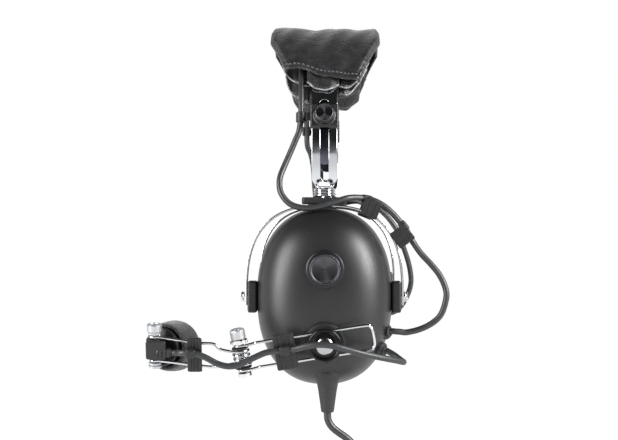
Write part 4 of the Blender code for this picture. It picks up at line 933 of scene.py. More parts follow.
cushion = skin(
    "cushion_leather", arc(-1, x, radius, degrees[:, None] + 0 * x), soft_leather, "headband", sharp=0,
)
inflate(cushion, 3.2, 4.0, 2.0)
relaxed = cushion.modifiers.new("relaxed", "SMOOTH")
relaxed.factor, relaxed.iterations = 0.5, 12
cushion.data.materials.clear()
# The shaded copy of the leather: painted shade for the cushion under the cover.
cushion.data.materials.append(shaded_leather)
fit(cushion, "leather", "head_cushion")


# Pad cover: one piece of leather laid over band and cushion, with its edges turned under and overlocked, and
# loose layers of the same leather folded round the cushion's ends. Cut edges show the hide's pale core.


def tint(material, dark, light, size, detail=3.0):
    """Lets the base colour wander between two hex colours with noise of this grain size in millimetres."""
    tree = material.node_tree
    place = node(tree, "TexCoord").outputs["Object"]
    noise = node(tree, "TexNoise", {"Vector": place, "Scale": 1 / (size * MM), "Detail": detail})
    share = node(tree, "MapRange", {"Value": noise.outputs[0], "From Min": 0.3, "From Max": 0.7})
    mix = node(tree, "Mix", {"Factor": share.outputs[0]}, data_type="RGBA")
    mix.inputs["A"].default_value = linear(dark)
    mix.inputs["B"].default_value = linear(light)
    tree.links.new(mix.outputs["Result"], tree.nodes["Principled BSDF"].inputs["Base Color"])


# The cut edge: dry pale fibres between the two dyed faces.
cut_edge = principled("cut edge of the hide", "#7c7c7e", 0.8)
mottle(cut_edge, 0.7, 0.9, 1.5)
tint(cut_edge, "#4c4c4e", "#98989a", 2.5)
# Bonded thread: a little lighter than the hide, and dull.
thread = principled("bonded nylon thread", "#3e3e41", 0.5, sheen_weight=0.3)
mottle(thread, 0.42, 0.6, 0.6)

COVER_RADIUS = 82.0
across = np.linspace(-1, 1, 120)
along = np.linspace(0, 1, 220)


def hem_drop(x):
    """Height of the cover's end edge across the head: it rises over the cable and falls towards the back."""
    over_cable = 3.0 * np.exp(-(((x + 13.5) / 6.5) ** 2))
    front_corner = 0.8 * np.exp(-(((x + 23.0) / 4.0) ** 2))
    return -8.0 - 0.13 * x + over_cable + front_corner


def cover_at(a, v, lift=0.0):
    """Places lifted off the cover: a runs across it from -1 to 1, and v from its left end to its right."""
    a, v, lift = np.broadcast_arrays(*(np.asarray(n, float) for n in (a, v, lift)))
    edge = np.degrees(np.arcsin(np.clip((hem_drop(a * 24.0) - BAND_CENTRE[2]) / 81.5, 0, 1)))
    degrees = edge + (180 - 2 * edge) * v
    up = np.minimum(degrees, 180 - degrees)
    half = 21.0 + 12.8 * np.clip((up - 32.0) / 30.0, 0, 1)
    # The section is flat, then turns down over the cushion's side on a small corner
    wall = 3.0 * np.clip((up - 34.0) / 16.0, 0.12, 1)
    total = half + wall
    reach = np.abs(a) * total
    bend = 2.6
    flat = half - bend
    on_bend = np.clip((reach - flat) / bend, 0, 1) * math.pi / 2
    down = np.clip(reach - flat - bend, 0, None)
    x = np.sign(a) * (np.minimum(reach, flat) + bend * np.sin(on_bend) * (reach > flat) - 0.18 * down)
    low = bend * (1 - np.cos(on_bend)) * (reach > flat) + down
    radius = COVER_RADIUS - low
    # Soft undulation: a roll near the front edge, a dip beside it and slow waves over the crown
    crown_share = np.clip((up - 35.0) / 40.0, 0, 1)
    front_roll = 1.5 * np.exp(-(((x + 21.0) / 8.0) ** 2))
    dip = 0.9 * np.exp(-(((x + 5.0) / 9.0) ** 2))
    radius = radius + crown_share * (front_roll - dip)
    radius = radius + 0.5 * np.sin(x * 0.16 + up * 0.09) * crown_share + 0.25 * np.sin(x * 0.45 - up * 0.21)
    radius = radius - 1.6 * np.clip(1 - (up - 30.0) / 16.0, 0, 1) * np.clip(1 - (x / 20.0) ** 2, 0, 1) * 0.4
    outward = lift * np.cos(on_bend)
    x = x + np.sign(a) * lift * np.sin(on_bend)
    return arc(-1, x, radius + outward, degrees)


COVER_HALF, COVER_RUN = 40.0, 180.0  # about how far from its middle to a side, and from end to end
STITCHED_RUN, STITCH_PITCH = 165.0, 2.4
a_all, v_all = np.meshgrid(across, along)
side_edge = (1 - np.abs(a_all)) * COVER_HALF
end_edge = np.minimum(v_all, 1 - v_all) * COVER_RUN
edge_room = np.minimum(side_edge, end_edge)
hem = 0.55 * np.clip((3.6 - edge_room) / 0.7, 0, 1) - 0.35 * np.exp(-(((edge_room - 4.4) / 0.8) ** 2))
seam_row = np.exp(-(((side_edge - 4.0) / 1.6) ** 2))
dimples = 0.16 * np.sin(v_all * STITCHED_RUN / STITCH_PITCH * 2 * math.pi / 2) * seam_row
grid = cover_at(a_all, v_all, hem + dimples)
cover = skin("pad_cover_leather", grid, soft_leather, "headband", wrap=False, sharp=0)
solid = cover.modifiers.new("hide", "SOLIDIFY")
solid.thickness, solid.offset = 1.3 * MM, -1.0
fit(cover, "leather", "head_pad_cover")


def stitches(name, starts, ends, thickness, finish):
    """Short threads, each a tapered six-sided tube bowed up a little from its start to its end."""
    starts, ends = np.asarray(starts), np.asarray(ends)
    ahead = ends - starts
    size = np.linalg.norm(ahead, axis=1, keepdims=True)
    ahead = ahead / size
    out = starts - BAND_CENTRE
    out[:, 0] *= 0.3
    out -= ahead * np.sum(out * ahead, axis=1, keepdims=True)
    out /= np.linalg.norm(out, axis=1, keepdims=True)
    side = np.cross(ahead, out)
    t = np.linspace(0, 1, 5)
    bow = 4 * t * (1 - t) * 0.25
    thick = thickness * (0.45 + 0.55 * np.sin(math.pi * t))
    clock = np.arange(6) * 2 * math.pi / 6
    middle = starts[:, None] + ahead[:, None] * size[:, None] * t[None, :, None]
    middle = middle + out[:, None] * bow[None, :, None]
    ring = out[:, None] * np.cos(clock)[None, :, None] + side[:, None] * np.sin(clock)[None, :, None]
    places = middle[:, :, None] + ring[:, None] * thick[None, :, None, None]
    count = len(starts)
    index = np.arange(count * 30).reshape(count, 5, 6)
    here, beside = index[:, :-1], np.roll(index, -1, axis=2)[:, :-1]
    up_one, up_beside = index[:, 1:], np.roll(index, -1, axis=2)[:, 1:]
    quads = np.stack([here, up_one, up_beside, beside], axis=-1).reshape(-1, 4)
    caps = np.vstack([index[:, 0], index[:, -1][:, ::-1]])
    mesh = bpy.data.meshes.new(name)
    mesh.from_pydata((places.reshape(-1, 3) * MM).tolist(), [], quads.tolist() + caps.tolist())
    mesh.shade_smooth()
    mesh.materials.append(finish)
    made = bpy.data.objects.new(name, mesh)
    scene.collection.objects.link(made)
    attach(made, "headband")
    fit(made, "leather")
    return made


starts, ends = [], []
for v in (0.021, 0.979):  # along each end's hem
    at = np.arange(-0.86, 0.86, 0.105)
    starts.append(cover_at(at, v, 0.35))
    ends.append(cover_at(at + 0.07, v, 0.35))
for way in (-1, 1):  # slanting over each side's hem
    at = np.arange(0.03, 0.97, 0.0145)
    starts.append(cover_at(way * 0.992, at, 0.75))
    ends.append(cover_at(way * 0.915, at + 0.006, 0.2))
seam = stitches("pad_cover_stitching", np.vstack(starts), np.vstack(ends), 0.36, thread)

LAYERS = (  # name, radius, places of the free edge as (x, z)
    ("front_upper", 73.0, ((-26.5, 1.0), (-24.0, -6.0), (-19.0, -10.5), (-14.0, -13.0), (-9.2, -14.0))),
    ("front_lower", 71.9, ((-24.0, -7.5), (-22.6, -14.0), (-19.5, -18.8), (-15.0, -22.5), (-9.2, -25.0))),
    ("over_band", 79.3, ((-10.5, -12.0), (-6.0, -15.6), (-1.0, -16.8), (4.0, -16.2), (8.6, -13.4))),
    ("rear_upper", 77.0, ((8.8, -14.5), (13.0, -15.4), (17.5, -13.2), (22.0, -8.0), (27.0, 1.0))),
    ("rear_lower", 74.0, ((8.8, -19.2), (13.0, -19.6), (17.0, -17.0), (21.0, -11.5), (25.5, -3.0))),
)
for side, sign in SIDES:
    for name, layer_radius, edge_places in LAYERS:
        edge_line = through(np.array([(x, z, 0.0) for x, z in edge_places]), 0.8)
        x_edge, z_edge = edge_line[:, 0], edge_line[:, 1]
        cosine = np.sqrt(np.clip(1 - (x_edge / 60.0) ** 2, 0, 1))
        radius_edge = layer_radius + 0.5 * np.sin(x_edge * 0.7) + (cosine - 1) * 16.0
        low = np.degrees(np.arcsin((z_edge - BAND_CENTRE[2]) / radius_edge))
        rows = np.linspace(0, 1, 20)[:, None]
        degrees = low[None] + (58.0 - low[None]) * (1 - rows)
        x_all = x_edge[None] * (1 + 0.05 * (1 - rows)) + 0 * rows
        ripple = 0.3 * np.sin(x_all * 0.9 + 4 * rows)
        grid = arc(sign, x_all, radius_edge[None] + ripple * rows, degrees)
        layer = skin(f"pad_layer_{name}_{side}", grid, soft_leather, "headband", wrap=False, sharp=0)
        if sign < 0:
            layer.data.flip_normals()
        hide = layer.modifiers.new("hide", "SOLIDIFY")
        hide.thickness, hide.offset = 0.9 * MM, 0.0
        fit(layer, "leather")
        edge_tube = skin(
            f"pad_layer_edge_{name}_{side}",
            carried(evenly(grid[-1], 0.8), ring_of(0.52, 8), first=(1, 0, 0.2)), cut_edge, "headband",
            sharp=0,
        )
        fit(edge_tube, "leather")


# Ear cups: deep shells moulded in black ABS with a fine satin texture, so the soft boxes show on them only as
# broad dim bands. A thin lip runs round the rim, over the plate that carries the speaker and the ear seal.
DOME_HALF_WIDTH, DOME_HALF_HEIGHT = 40.5, 52.8
DOME_RIM, DOME_DEPTH, DOME_WALL = -8.0, 38.0, 2.2
DOME_EXPONENT = 2.3
CROWN_EXPONENT = 2.8

# Satin ABS: a fine spark-eroded grain that spreads each highlight softly.
satin_abs = principled(
    "black ABS, moulded with a satin texture", "#131314", 0.42, ior=1.52, specular_ior_level=0.5,
)
grain = mottle(satin_abs, 0.38, 0.47, 0.9, 2.0)
relief(satin_abs, grain, 0.02)


def outline(a, b, exponent, count):
    """A superellipse, anticlockwise: |x/a|^n + |z/b|^n = 1, as (x, z) pairs, evenly spaced along it."""
    clock = np.linspace(0, 2 * math.pi, 2881)
    c, s = np.cos(clock), np.sin(clock)
    x = np.sign(c) * np.abs(c) ** (2 / exponent) * a
    z = np.sign(s) * np.abs(s) ** (2 / exponent) * b
    return spread(np.stack([x, z], axis=1)[:-1], count)


unit = outline(DOME_HALF_WIDTH, DOME_HALF_HEIGHT, DOME_EXPONENT, 200)
for side, sign in SIDES:
    t = np.linspace(math.pi / 2 - 0.004, 0, 90)
    share = np.cos(t) ** (2 / CROWN_EXPONENT)
    rise = np.sin(t) ** (2 / CROWN_EXPONENT)
    outer_rows = list(zip(share, DOME_RIM + DOME_DEPTH * rise))
    lip = [(1.004, DOME_RIM + 2.9), (1.006, DOME_RIM + 2.5), (1.006, DOME_RIM + 0.4), (1.002, DOME_RIM)]
    shrink = (DOME_HALF_WIDTH - DOME_WALL) / DOME_HALF_WIDTH
    inner_rows = [(s * shrink, DOME_RIM + (DOME_DEPTH - DOME_WALL) * r) for s, r in zip(share, rise)][::-3]
    rows = [row for row in outer_rows if row[1] > DOME_RIM + 3.2] + lip + inner_rows
    grid = np.stack([cup(sign, unit[:, 0] * s, out, unit[:, 1] * s) for s, out in rows])
    shell = skin(f"dome_shell_{side}", grid, satin_abs, f"cup_{side}", sharp=50)
    fit(shell, "shell", f"ear_dome_{side}")


# Ear plates and speakers: a moulded plate closes each shell, and the speaker sits behind its round opening,
# under a disc of open-cell foam.

# Open-cell foam: no shine at all, only the dark of its cells.
acoustic_foam = principled("acoustic foam, open cell", "#1a1a1b", 0.95, sheen_weight=0.25)
tree = acoustic_foam.node_tree
place = node(tree, "TexCoord").outputs["Object"]
cells = node(tree, "TexVoronoi", {"Vector": place, "Scale": 1 / (0.9 * MM)})
relief(acoustic_foam, cells.outputs["Distance"], 0.5)
ON_HUB = 1001.0
PLATE_GAP, PLATE_THICKNESS = 0.3, 2.7


def cup_ring(name, section, sign, finish, body, a=DOME_HALF_WIDTH, b=DOME_HALF_HEIGHT, hub=None):
    """A closed ring round a cup: section gives (inset, out) pairs, and the outline shrinks by each inset.

    Where hub is set, a place with the inset ON_HUB lies on a circle of that radius instead.
    """
    columns = []
    for inset, out in section:
        if hub and inset == ON_HUB:
            clock = np.arctan2(unit[:, 1] / b, unit[:, 0] / a)
            columns.append(cup(sign, hub * np.cos(clock), out, hub * np.sin(clock)))
        else:
            x = unit[:, 0] * (a - inset) / DOME_HALF_WIDTH
            columns.append(cup(sign, x, out, unit[:, 1] * (b - inset) / DOME_HALF_HEIGHT))
    return skin(name, np.stack(columns, axis=1), finish, body, loop=True, sharp=40)


for side, sign in SIDES:
    out, thick = DOME_RIM - PLATE_GAP, PLATE_THICKNESS
    section = [
        (1.6, out), (1.1, out - 0.1), (0.7, out - 0.5), (0.7, out - thick + 0.5), (1.1, out - thick + 0.1),
        (1.6, out - thick)
    ]
    section += [(ON_HUB, out - thick), (ON_HUB, out)]
    plate = cup_ring(f"speaker_plate_{side}", section, sign, moulded_nylon, f"cup_{side}", hub=17.0)
    fit(plate, "shell", f"ear_plate_{side}")
    axis = (0, sign, 0)
    start = cup(sign, 0, out + PLATE_GAP, 0)
    cone = np.linspace(0, 1, 20)
    profile = [(9.5, 11.0), (9.5, 6.2), (14.5, 6.0), (19.5, 2.0), (19.5, 0.0), (17.2, 0.0), (16.6, 0.4)]
    profile += [(16.4 * (1 - c) + 0.2 * c, 0.4 + 1.4 * c * c) for c in cone]
    speaker = turned(f"speaker_cone_{side}", profile, start, axis, acoustic_foam, f"cup_{side}", 72)
    fit(speaker, "speaker", f"speaker_{side}")


# Ear seals: foam rings in soft black vinyl, welded along both edges of the plate. Filling draws shallow
# puckers in from the inner weld, and the face towards the head is crowned.
# Calendered vinyl: smoother and glossier than leather, with faint creases.
seal_vinyl = principled("soft vinyl, calendered", "#18181a", 0.38, ior=1.5, sheen_weight=0.12)
creases = mottle(seal_vinyl, 0.32, 0.46, 2.2)
relief(seal_vinyl, creases, 0.06)

SEAL_BREADTH, SEAL_THICKNESS, SEAL_INSET = 19.5, 16.7, 1.6
for side, sign in SIDES:
    back = DOME_RIM - PLATE_GAP - PLATE_THICKNESS - PLATE_GAP
    clock = np.arange(240) * 2 * math.pi / 240
    ring = outline(DOME_HALF_WIDTH - SEAL_INSET, DOME_HALF_HEIGHT - SEAL_INSET - 1.2, DOME_EXPONENT, 240)
    turn = np.linspace(-0.5 * math.pi, 1.5 * math.pi, 56, endpoint=False)
    # A squared oval section, half the breadth across and half the thickness deep, flat against the plate
    c = np.sign(np.cos(turn)) * np.abs(np.cos(turn)) ** 0.72
    s = np.sign(np.sin(turn)) * np.abs(np.sin(turn)) ** 0.8
    inset = SEAL_BREADTH / 2 * (1 - c)
    depth = SEAL_THICKNESS / 2 * (1 + s)
    # Puckers: two waves round the ring, strongest on the inner wall and dying out over the crown
    inner_side = np.clip((inset - SEAL_BREADTH * 0.5) / (SEAL_BREADTH * 0.5), 0, 1) * np.clip(depth / 5, 0, 1)
    wave = np.sin(clock * 23 + 1.1 * np.sin(clock * 3)) + 0.6 * np.sin(clock * 37 + 2 * np.cos(clock * 5))
    pucker = 0.28 * inner_side[None, :] * wave[:, None]
    soften = 0.5 * np.sin(clock * 2 + 0.6)[:, None] * np.clip(depth / SEAL_THICKNESS, 0, 1)[None, :] ** 2
    a = DOME_HALF_WIDTH - SEAL_INSET
    b = DOME_HALF_HEIGHT - SEAL_INSET - 1.2
    draw = inset[None, :] + pucker
    grid = cup(
        sign,
        ring[:, None, 0] * (a - draw) / a,
        back - np.clip(depth[None, :] - 0.45 - soften * 0.4, 0.0, SEAL_THICKNESS - 0.1),
        ring[:, None, 1] * (b - draw) / b,
    )
    seal = skin(f"seal_ring_{side}", grid, seal_vinyl, f"cup_{side}", loop=True, sharp=0)
    fit(seal, "seal", f"ear_seal_{side}")
    # The weld: a thin flat bead round the outside, where vinyl meets plate
    bead = evenly(np.vstack([ring, ring[:1]]), 2.0)[:-1]
    path = cup(sign, bead[:, 0] * 1.004, back - 1.0, bead[:, 1] * 1.004)
    tube = ring_of(0.55, 8)
    grid = carried(np.vstack([path, path[:1]]), tube, first=(0, 1, 0))[:-1]
    weld = skin(f"seal_weld_{side}", grid, seal_vinyl, f"cup_{side}", loop=True, sharp=0)
    fit(weld, "seal")


# Volume controls: a turned aluminium knob, anodised black, with a coarse knurl, a raised ring and a dished
# face. The rotary control behind it is nickel plated.
KNOB_PLACE = (0.8, 17.5)
KNOB_BACK = 30.9  # out from the pivots' plane
for side, sign in SIDES:
    start = cup(sign, KNOB_PLACE[0], KNOB_BACK, KNOB_PLACE[1])
    axis = np.array([0.0, sign, 0.0])
    profile = [
        (3.8, 1.2), (3.8, 0.0), (10.6, 0.0), (11.3, 0.6), (11.3, 2.0), (11.3, 3.6), (11.3, 5.6), (11.0, 6.2)
    ]
    profile += [(10.4, 6.6), (9.2, 6.8), (9.0, 7.0)]
    skirt = turned(
        f"volume_skirt_{side}", profile, start, axis, knurled_black, f"volume_knob_{side}", 480,
        knurl(60, 0.8, 0.8, 6.1), sharp=30,
    )
    crest = np.linspace(0, math.pi, 9)
    profile = [(9.0 - 0.5 * (1 - math.cos(c)), 8.3 + 0.55 * math.sin(c)) for c in crest]
    dish = [(7.3 * s, 7.2 + 0.7 * s * s) for s in np.linspace(1, 0.02, 30)]
    rows = [(3.3, 6.0), (9.0, 6.0)] + profile + [(7.7, 7.95)] + dish
    face = turned(f"volume_face_{side}", rows, start, axis, spun_black, f"volume_knob_{side}", 128, sharp=45)
    fit(skirt, "knob", f"volume_knob_{side}")
    fit(face, "knob")
    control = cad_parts[f"volume_control_{side}"]
    control.data.materials.clear()
    control.data.materials.append(bright_steel)


# Cable grommets and the lead's strain relief: moulded black PVC, softer and duller than the shell. The strain
# relief is an oval boot seated in the bottom of the left shell.

# Moulded PVC: dull, lighter where it has been handled.
boot_rubber = principled("soft PVC, moulded", "#1c1c1e", 0.55, ior=1.5)
mottle(boot_rubber, 0.48, 0.64, 1.6)

CROSSOVER_HOLE = (36.5, 7.0, -20.5), (0.74, 0.67, -0.02)  # place (x, out, z) and the way it faces
MIC_HOLE = (33.6, 9.6, -31.0), (0.78, 0.48, -0.4)
for name, solid, sign, ((x, out, z), (dx, dout, dz)), body in (
    ("crossover_bush_left", "crossover_grommet_left", -1, CROSSOVER_HOLE, "cup_left"),
    ("crossover_bush_right", "crossover_grommet_right", 1, CROSSOVER_HOLE, "cup_right"),
    ("mic_cable_bush", "mic_cable_grommet", -1, MIC_HOLE, "cup_left"),
):
    profile = [(1.5, -2.0), (4.4, -2.0), (4.7, -1.0), (4.7, 0.9), (4.4, 1.5), (3.7, 1.8), (3.0, 1.9)]
    profile += [(2.9, 2.3), (2.9, 3.1), (2.6, 3.6), (1.5, 3.7)]
    bush = turned(name, profile, cup(sign, x, out, z), (dx, sign * dout, dz), boot_rubber, body, 48)
    fit(bush, "fittings", solid)

GLAND_X, GLAND_OUT, GLAND_TOP = 2.0, 12.0, -42.0
stations = [  # half width, half depth, and distance below the top
    (8.6, 7.5, 0.0), (9.2, 8.0, 0.7), (9.2, 8.0, 3.6), (9.0, 7.8, 4.6), (8.2, 7.3, 5.6), (7.2, 6.7, 7.0),
    (6.4, 6.25, 8.6), (5.9, 5.9, 11.0), (5.4, 5.4, 14.0), (4.9, 4.9, 17.5), (4.4, 4.4, 21.0),
    (4.0, 4.0, 24.4), (3.7, 3.7, 25.7), (3.0, 3.0, 26.0),
]
turn = np.arange(72) * 2 * math.pi / 72
grid = np.stack([
    cup(-1, GLAND_X + a * np.cos(turn), GLAND_OUT + b * np.sin(turn), GLAND_TOP - below)
    for a, b, below in stations
])
boot = skin("lead_boot", grid, boot_rubber, "cup_left", sharp=50)
fit(boot, "fittings", "lead_strain_relief")


# Boom, rear length: a mount on the left cup, a hairpin of chrome wire clamped in it by a dished plate and one
# domed chrome screw, and a moulded clip that holds the microphone's cable to the wires.
BOOM_TILT, BOOM_SLOPE = math.radians(12.0), math.radians(9.3)
BOOM_CENTRE = cup(-1, 0.7, 28.3, -25.2)
BOOM_AIM = np.array([0.0, -math.cos(BOOM_TILT), -math.sin(BOOM_TILT)])
BOOM_UP = np.array([0.0, -math.sin(BOOM_TILT), math.cos(BOOM_TILT)])
BOOM_FORWARD = np.array([-1.0, 0.0, 0.0])
WIRE_RADIUS, WIRE_OUT, WIRE_HALF_GAP, WIRE_BACK = 0.9, 4.2, 7.4, 28.5
BOOM_REACH, EYE_RADIUS = 49.0, 2.7

# Drawn wire keeps the die's lengthwise lines under the plating, so its highlights are a little broken.
chrome_wire = principled("chrome plated steel wire, drawn", "#c4c6c9", 0.14, 1.0)
mottle(chrome_wire, 0.1, 0.24, 1.2)


def boom(p, q, t):
    """Places forwards, up and outwards from the middle of the boom's mount."""
    p, q, t = (np.asarray(v, float)[..., None] for v in np.broadcast_arrays(p, q, t))
    return BOOM_CENTRE + p * BOOM_FORWARD + q * BOOM_UP + t * BOOM_AIM


def rear(u, v, t):
    """Places along and across the boom's rear length, which slopes down to the elbow, and outwards."""
    u, v = np.asarray(u, float), np.asarray(v, float)
    c, s = math.cos(BOOM_SLOPE), math.sin(BOOM_SLOPE)
    return boom(u * c + v * s, v * c - u * s, t)


def wire(name, points, body, radius=WIRE_RADIUS, finish=chrome_wire, sides=14, spacing=0.7):
    """A round wire along a smooth curve through points, with rounded ends."""
    path = through(np.array(points), spacing)
    count = len(path)
    from_end = np.minimum(np.arange(count), np.arange(count)[::-1]) * spacing
    taper = np.sqrt(np.clip(1 - (1 - np.clip(from_end / radius, 0, 1)) ** 2, 0.05, 1))
    return skin(name, carried(path, ring_of(radius, sides), scale=taper), finish, body, sharp=0)


profile = [
    (4.0, -3.5), (4.0, 0.0), (11.4, 0.0), (12.0, 0.5), (12.0, 1.6), (11.7, 2.1), (11.2, 2.3), (10.9, 2.9),
    (4.0, 3.0)
]
mount = turned("boom_base", profile, BOOM_CENTRE, BOOM_AIM, moulded_nylon, "cup_left", 128)
fit(mount, "fittings", "boom_mount")

plate = WIRE_OUT + WIRE_RADIUS + 0.3
profile = [
    (5.5, 3.3), (5.5, plate), (9.3, plate), (10.0, plate + 0.5), (10.0, plate + 1.8), (9.8, plate + 2.2)
]
profile += [
    (9.3, plate + 2.5), (8.8, plate + 2.5), (8.3, plate + 2.2), (7.6, plate + 1.7), (6.2, plate + 1.4),
    (5.0, plate + 1.4)
]
# Anodised and finely turned: a sharp dark gloss on the rim.
rim_black = principled("black anodised aluminium, turned", "#19191b", 0.26, 0.6)
mottle(rim_black, 0.2, 0.34, 0.9)
washer = turned("boom_plate", profile, BOOM_CENTRE, BOOM_AIM, rim_black, "boom_rear", 128)
fit(washer, "knob", "boom_clamp_plate")
# The dome screw is polished before plating, and mirrors the table and the dark room.
mirror_dome = principled("chrome plated brass, polished", "#a4a5a7", 0.2, 1.0)
mottle(mirror_dome, 0.14, 0.26, 1.2)
turn = np.linspace(0, math.pi / 2, 16)
profile = [(5.2, plate + 1.2), (5.5, plate + 1.5), (5.5, plate + 2.3)]
profile += [(5.5 * math.cos(a) if a < 1.5 else 0.1, plate + 2.4 + 2.7 * math.sin(a)) for a in turn]
screw = turned("boom_dome_screw", profile, BOOM_CENTRE, BOOM_AIM, mirror_dome, "boom_rear", 72)
fit(screw, "hardware")

gap, wire_t = WIRE_HALF_GAP, WIRE_OUT
eye_turn = np.linspace(0, 1.5 * math.pi, 13)[:, None]
eyes = {}
for which, v in (("upper", gap), ("lower", -gap)):
    along = rear(1, 0, 0) - rear(0, 0, 0)
    round_eye = BOOM_AIM * np.cos(eye_turn) + along * np.sin(eye_turn)
    eyes[which] = rear(BOOM_REACH, v, wire_t) + EYE_RADIUS * round_eye
eye_t = wire_t + EYE_RADIUS
points = [
    *eyes["upper"][::-1], rear(BOOM_REACH - 4, gap, eye_t - 0.3), rear(BOOM_REACH - 9, gap, wire_t + 0.4)
]
points += [rear(BOOM_REACH - 12, gap, wire_t), rear(0, gap, wire_t), rear(4 - WIRE_BACK, gap, wire_t)]
points += [rear(1.2 - WIRE_BACK, gap - 1.0, wire_t), rear(-WIRE_BACK, gap - 3.6, wire_t)]
points += [
    rear(-WIRE_BACK, 3.6 - gap, wire_t), rear(1.2 - WIRE_BACK, 1.0 - gap, wire_t),
    rear(4 - WIRE_BACK, -gap, wire_t)
]
points += [
    rear(0, -gap, wire_t), rear(BOOM_REACH - 12, -gap, wire_t), rear(BOOM_REACH - 9, -gap, wire_t + 0.4)
]
points += [rear(BOOM_REACH - 4, -gap, eye_t - 0.3), *eyes["lower"]]
hairpin = wire("boom_hairpin_wire", points, "boom_rear")
fit(hairpin, "wire", "boom_wire_rear")


def boom_clip(name, solid, frame_at, u, v, half_u, half_v, low, wires, body):
    """A moulded clip: a plate over the wires with four raised ribs across it.

    frame_at turns (along, across, outwards) into places. wires gives how far up and down the wires lie, and a
    hook wraps each from outside.
    """
    pieces = []
    body_block = block(
        name, lambda i: rounded(half_u - i, half_v - i, 1.0) + [u, v],
        lambda ab, c: frame_at(ab[:, 0], ab[:, 1], c), low, low + 1.9, 0.45, moulded_nylon, body,
    )
    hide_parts(solid)
    pieces.append(body_block)
    for number, (edge, width) in enumerate(((-0.80, 1.1), (-0.28, 0.5), (0.28, 0.5), (0.80, 1.1))):
        pieces.append(block(
            f"{name}_rib_{number}",
            lambda i, e=edge, w=width: rounded(w - i, half_v * 0.96 - i, 0.4) + [u + e * half_u, v],
            lambda ab, c: frame_at(ab[:, 0], ab[:, 1], c), low + 1.5, low + 2.35, 0.25, moulded_nylon, body,
        ))
    sweep = np.radians(np.linspace(-20, 200, 18))
    for number, at in enumerate(wires):
        outward = 1 if at > v else -1
        ring = np.stack([np.cos(sweep), np.sin(sweep)], axis=1)
        loop = np.vstack([ring * 1.95, ring[::-1] * 1.12])
        cross = at + outward * loop[:, 1]
        lift = low - 1.2 + loop[:, 0]
        hook_ends = (u - half_u + 0.3, u - half_u + 0.6, u + half_u - 0.6, u + half_u - 0.3)
        rows = [frame_at(along, cross, lift) for along in hook_ends]
        pieces.append(flats(skin(f"{name}_hook_{number}", np.stack(rows), moulded_nylon, body)))
    for piece in pieces:
        fit(piece, "fittings")
    return pieces


clip_low = wire_t + WIRE_RADIUS + 0.3
boom_clip(
    "boom_rear_clip", "boom_clip_rear", rear, 23.3, 0.0, 6.2, gap + 3.4, clip_low, (gap, -gap), "boom_rear",
)


# Elbow: the front length is one wire, coiled three and a half times round a steel bolt between the rear
# wires' eyes. A knurled aluminium nut over a lobed washer sets how stiffly it turns.
ELBOW = rear(BOOM_REACH, 0, wire_t)
ELBOW_AXIS = rear(0, 1, 0) - rear(0, 0, 0)
seat = gap + WIRE_RADIUS + 0.3
# Bare aluminium: the knurl breaks its shine into pale specks.
knurled_light = principled("natural aluminium, knurled", "#b4b6b8", 0.46, 0.9)
mottle(knurled_light, 0.4, 0.56, 0.6)
# Nitrile rubber: flat black between the bright parts.
rubber_washer = principled("nitrile rubber washer", "#151516", 0.6)
mottle(rubber_washer, 0.5, 0.7, 0.8)


def lobes(count, depth, low, high):
    """A wave for turned: this many round lobes between two distances."""
    return lambda angle, at: ((at > low) & (at < high)) * depth * np.cos(angle * count)


profile = [
    (3.4, -seat - 3.0), (4.0, -seat - 2.6), (4.0, -seat - 0.5), (3.4, -seat), (1.5, -seat), (1.5, seat)
]
profile += [
    (4.4, seat), (4.9, seat + 0.4), (4.9, seat + 2.2), (4.4, seat + 2.6), (1.5, seat + 2.6),
    (1.5, seat + 7.2), (1.0, seat + 7.5)
]
bolt = turned(
    "elbow_shank", profile, ELBOW, ELBOW_AXIS, bright_steel, "boom_rear", 96,
    lobes(3, 0.55, seat + 0.2, seat + 2.4),
)
fit(bolt, "hardware", "elbow_bolt")
for number, at in enumerate((gap - WIRE_RADIUS - 1.0, -gap + WIRE_RADIUS + 0.1)):
    ring = [(1.9, at), (4.6, at), (4.9, at + 0.2), (4.9, at + 0.7), (4.6, at + 0.9), (1.9, at + 0.9)]
    soft = turned(
        f"elbow_washer_{number}", ring, ELBOW, ELBOW_AXIS, rubber_washer, "boom_rear", 64, loop=True,
    )
    fit(soft, "fittings")
nut_low = seat + 2.9
profile = [
    (1.9, nut_low), (3.9, nut_low), (4.4, nut_low + 0.4), (4.4, nut_low + 4.9), (3.9, nut_low + 5.5),
    (2.6, nut_low + 5.6), (1.9, nut_low + 5.2)
]
thumb = turned(
    "elbow_knurled_nut", profile, ELBOW, ELBOW_AXIS, knurled_light, "elbow_nut", 192,
    knurl(30, 0.5, nut_low + 0.5, nut_low + 4.8), loop=True,
)
fit(thumb, "light_metal", "elbow_thumb_nut")


# Boom, front length: the wire runs from an eye at the microphone's bolt back to the elbow's coil and out
# again to a second eye. A second clip holds the cable to it.
MIC_P, MIC_Q = 98.9, -2.4
MIC_HALF_GAP = 7.1
COIL_RADIUS = 4.4
upper, lower = MIC_Q + MIC_HALF_GAP, MIC_Q - MIC_HALF_GAP
round_eye = BOOM_AIM * np.cos(eye_turn) + BOOM_FORWARD * np.sin(eye_turn)
ends = {
    "upper": boom(MIC_P, upper, wire_t) + EYE_RADIUS * round_eye,
    "lower": boom(MIC_P, lower, wire_t) + EYE_RADIUS * round_eye,
}
points = [
    *ends["upper"][::-1], boom(MIC_P - 4, upper, eye_t), boom(73.1, 1.7, eye_t + 0.5),
    boom(64.5, 1.1, eye_t + 0.8)
]
points += [boom(60.5, -1.9, eye_t + 1.2), boom(54.0, -3.2, wire_t + COIL_RADIUS)]
steps = np.linspace(0, 1, 43)
wound = 7 * math.pi * steps  # three and a half turns round the bolt
coil_u, coil_t = BOOM_REACH - COIL_RADIUS * np.sin(wound), wire_t + COIL_RADIUS * np.cos(wound)
points += list(rear(coil_u, 4.6 - 9.4 * steps, coil_t))
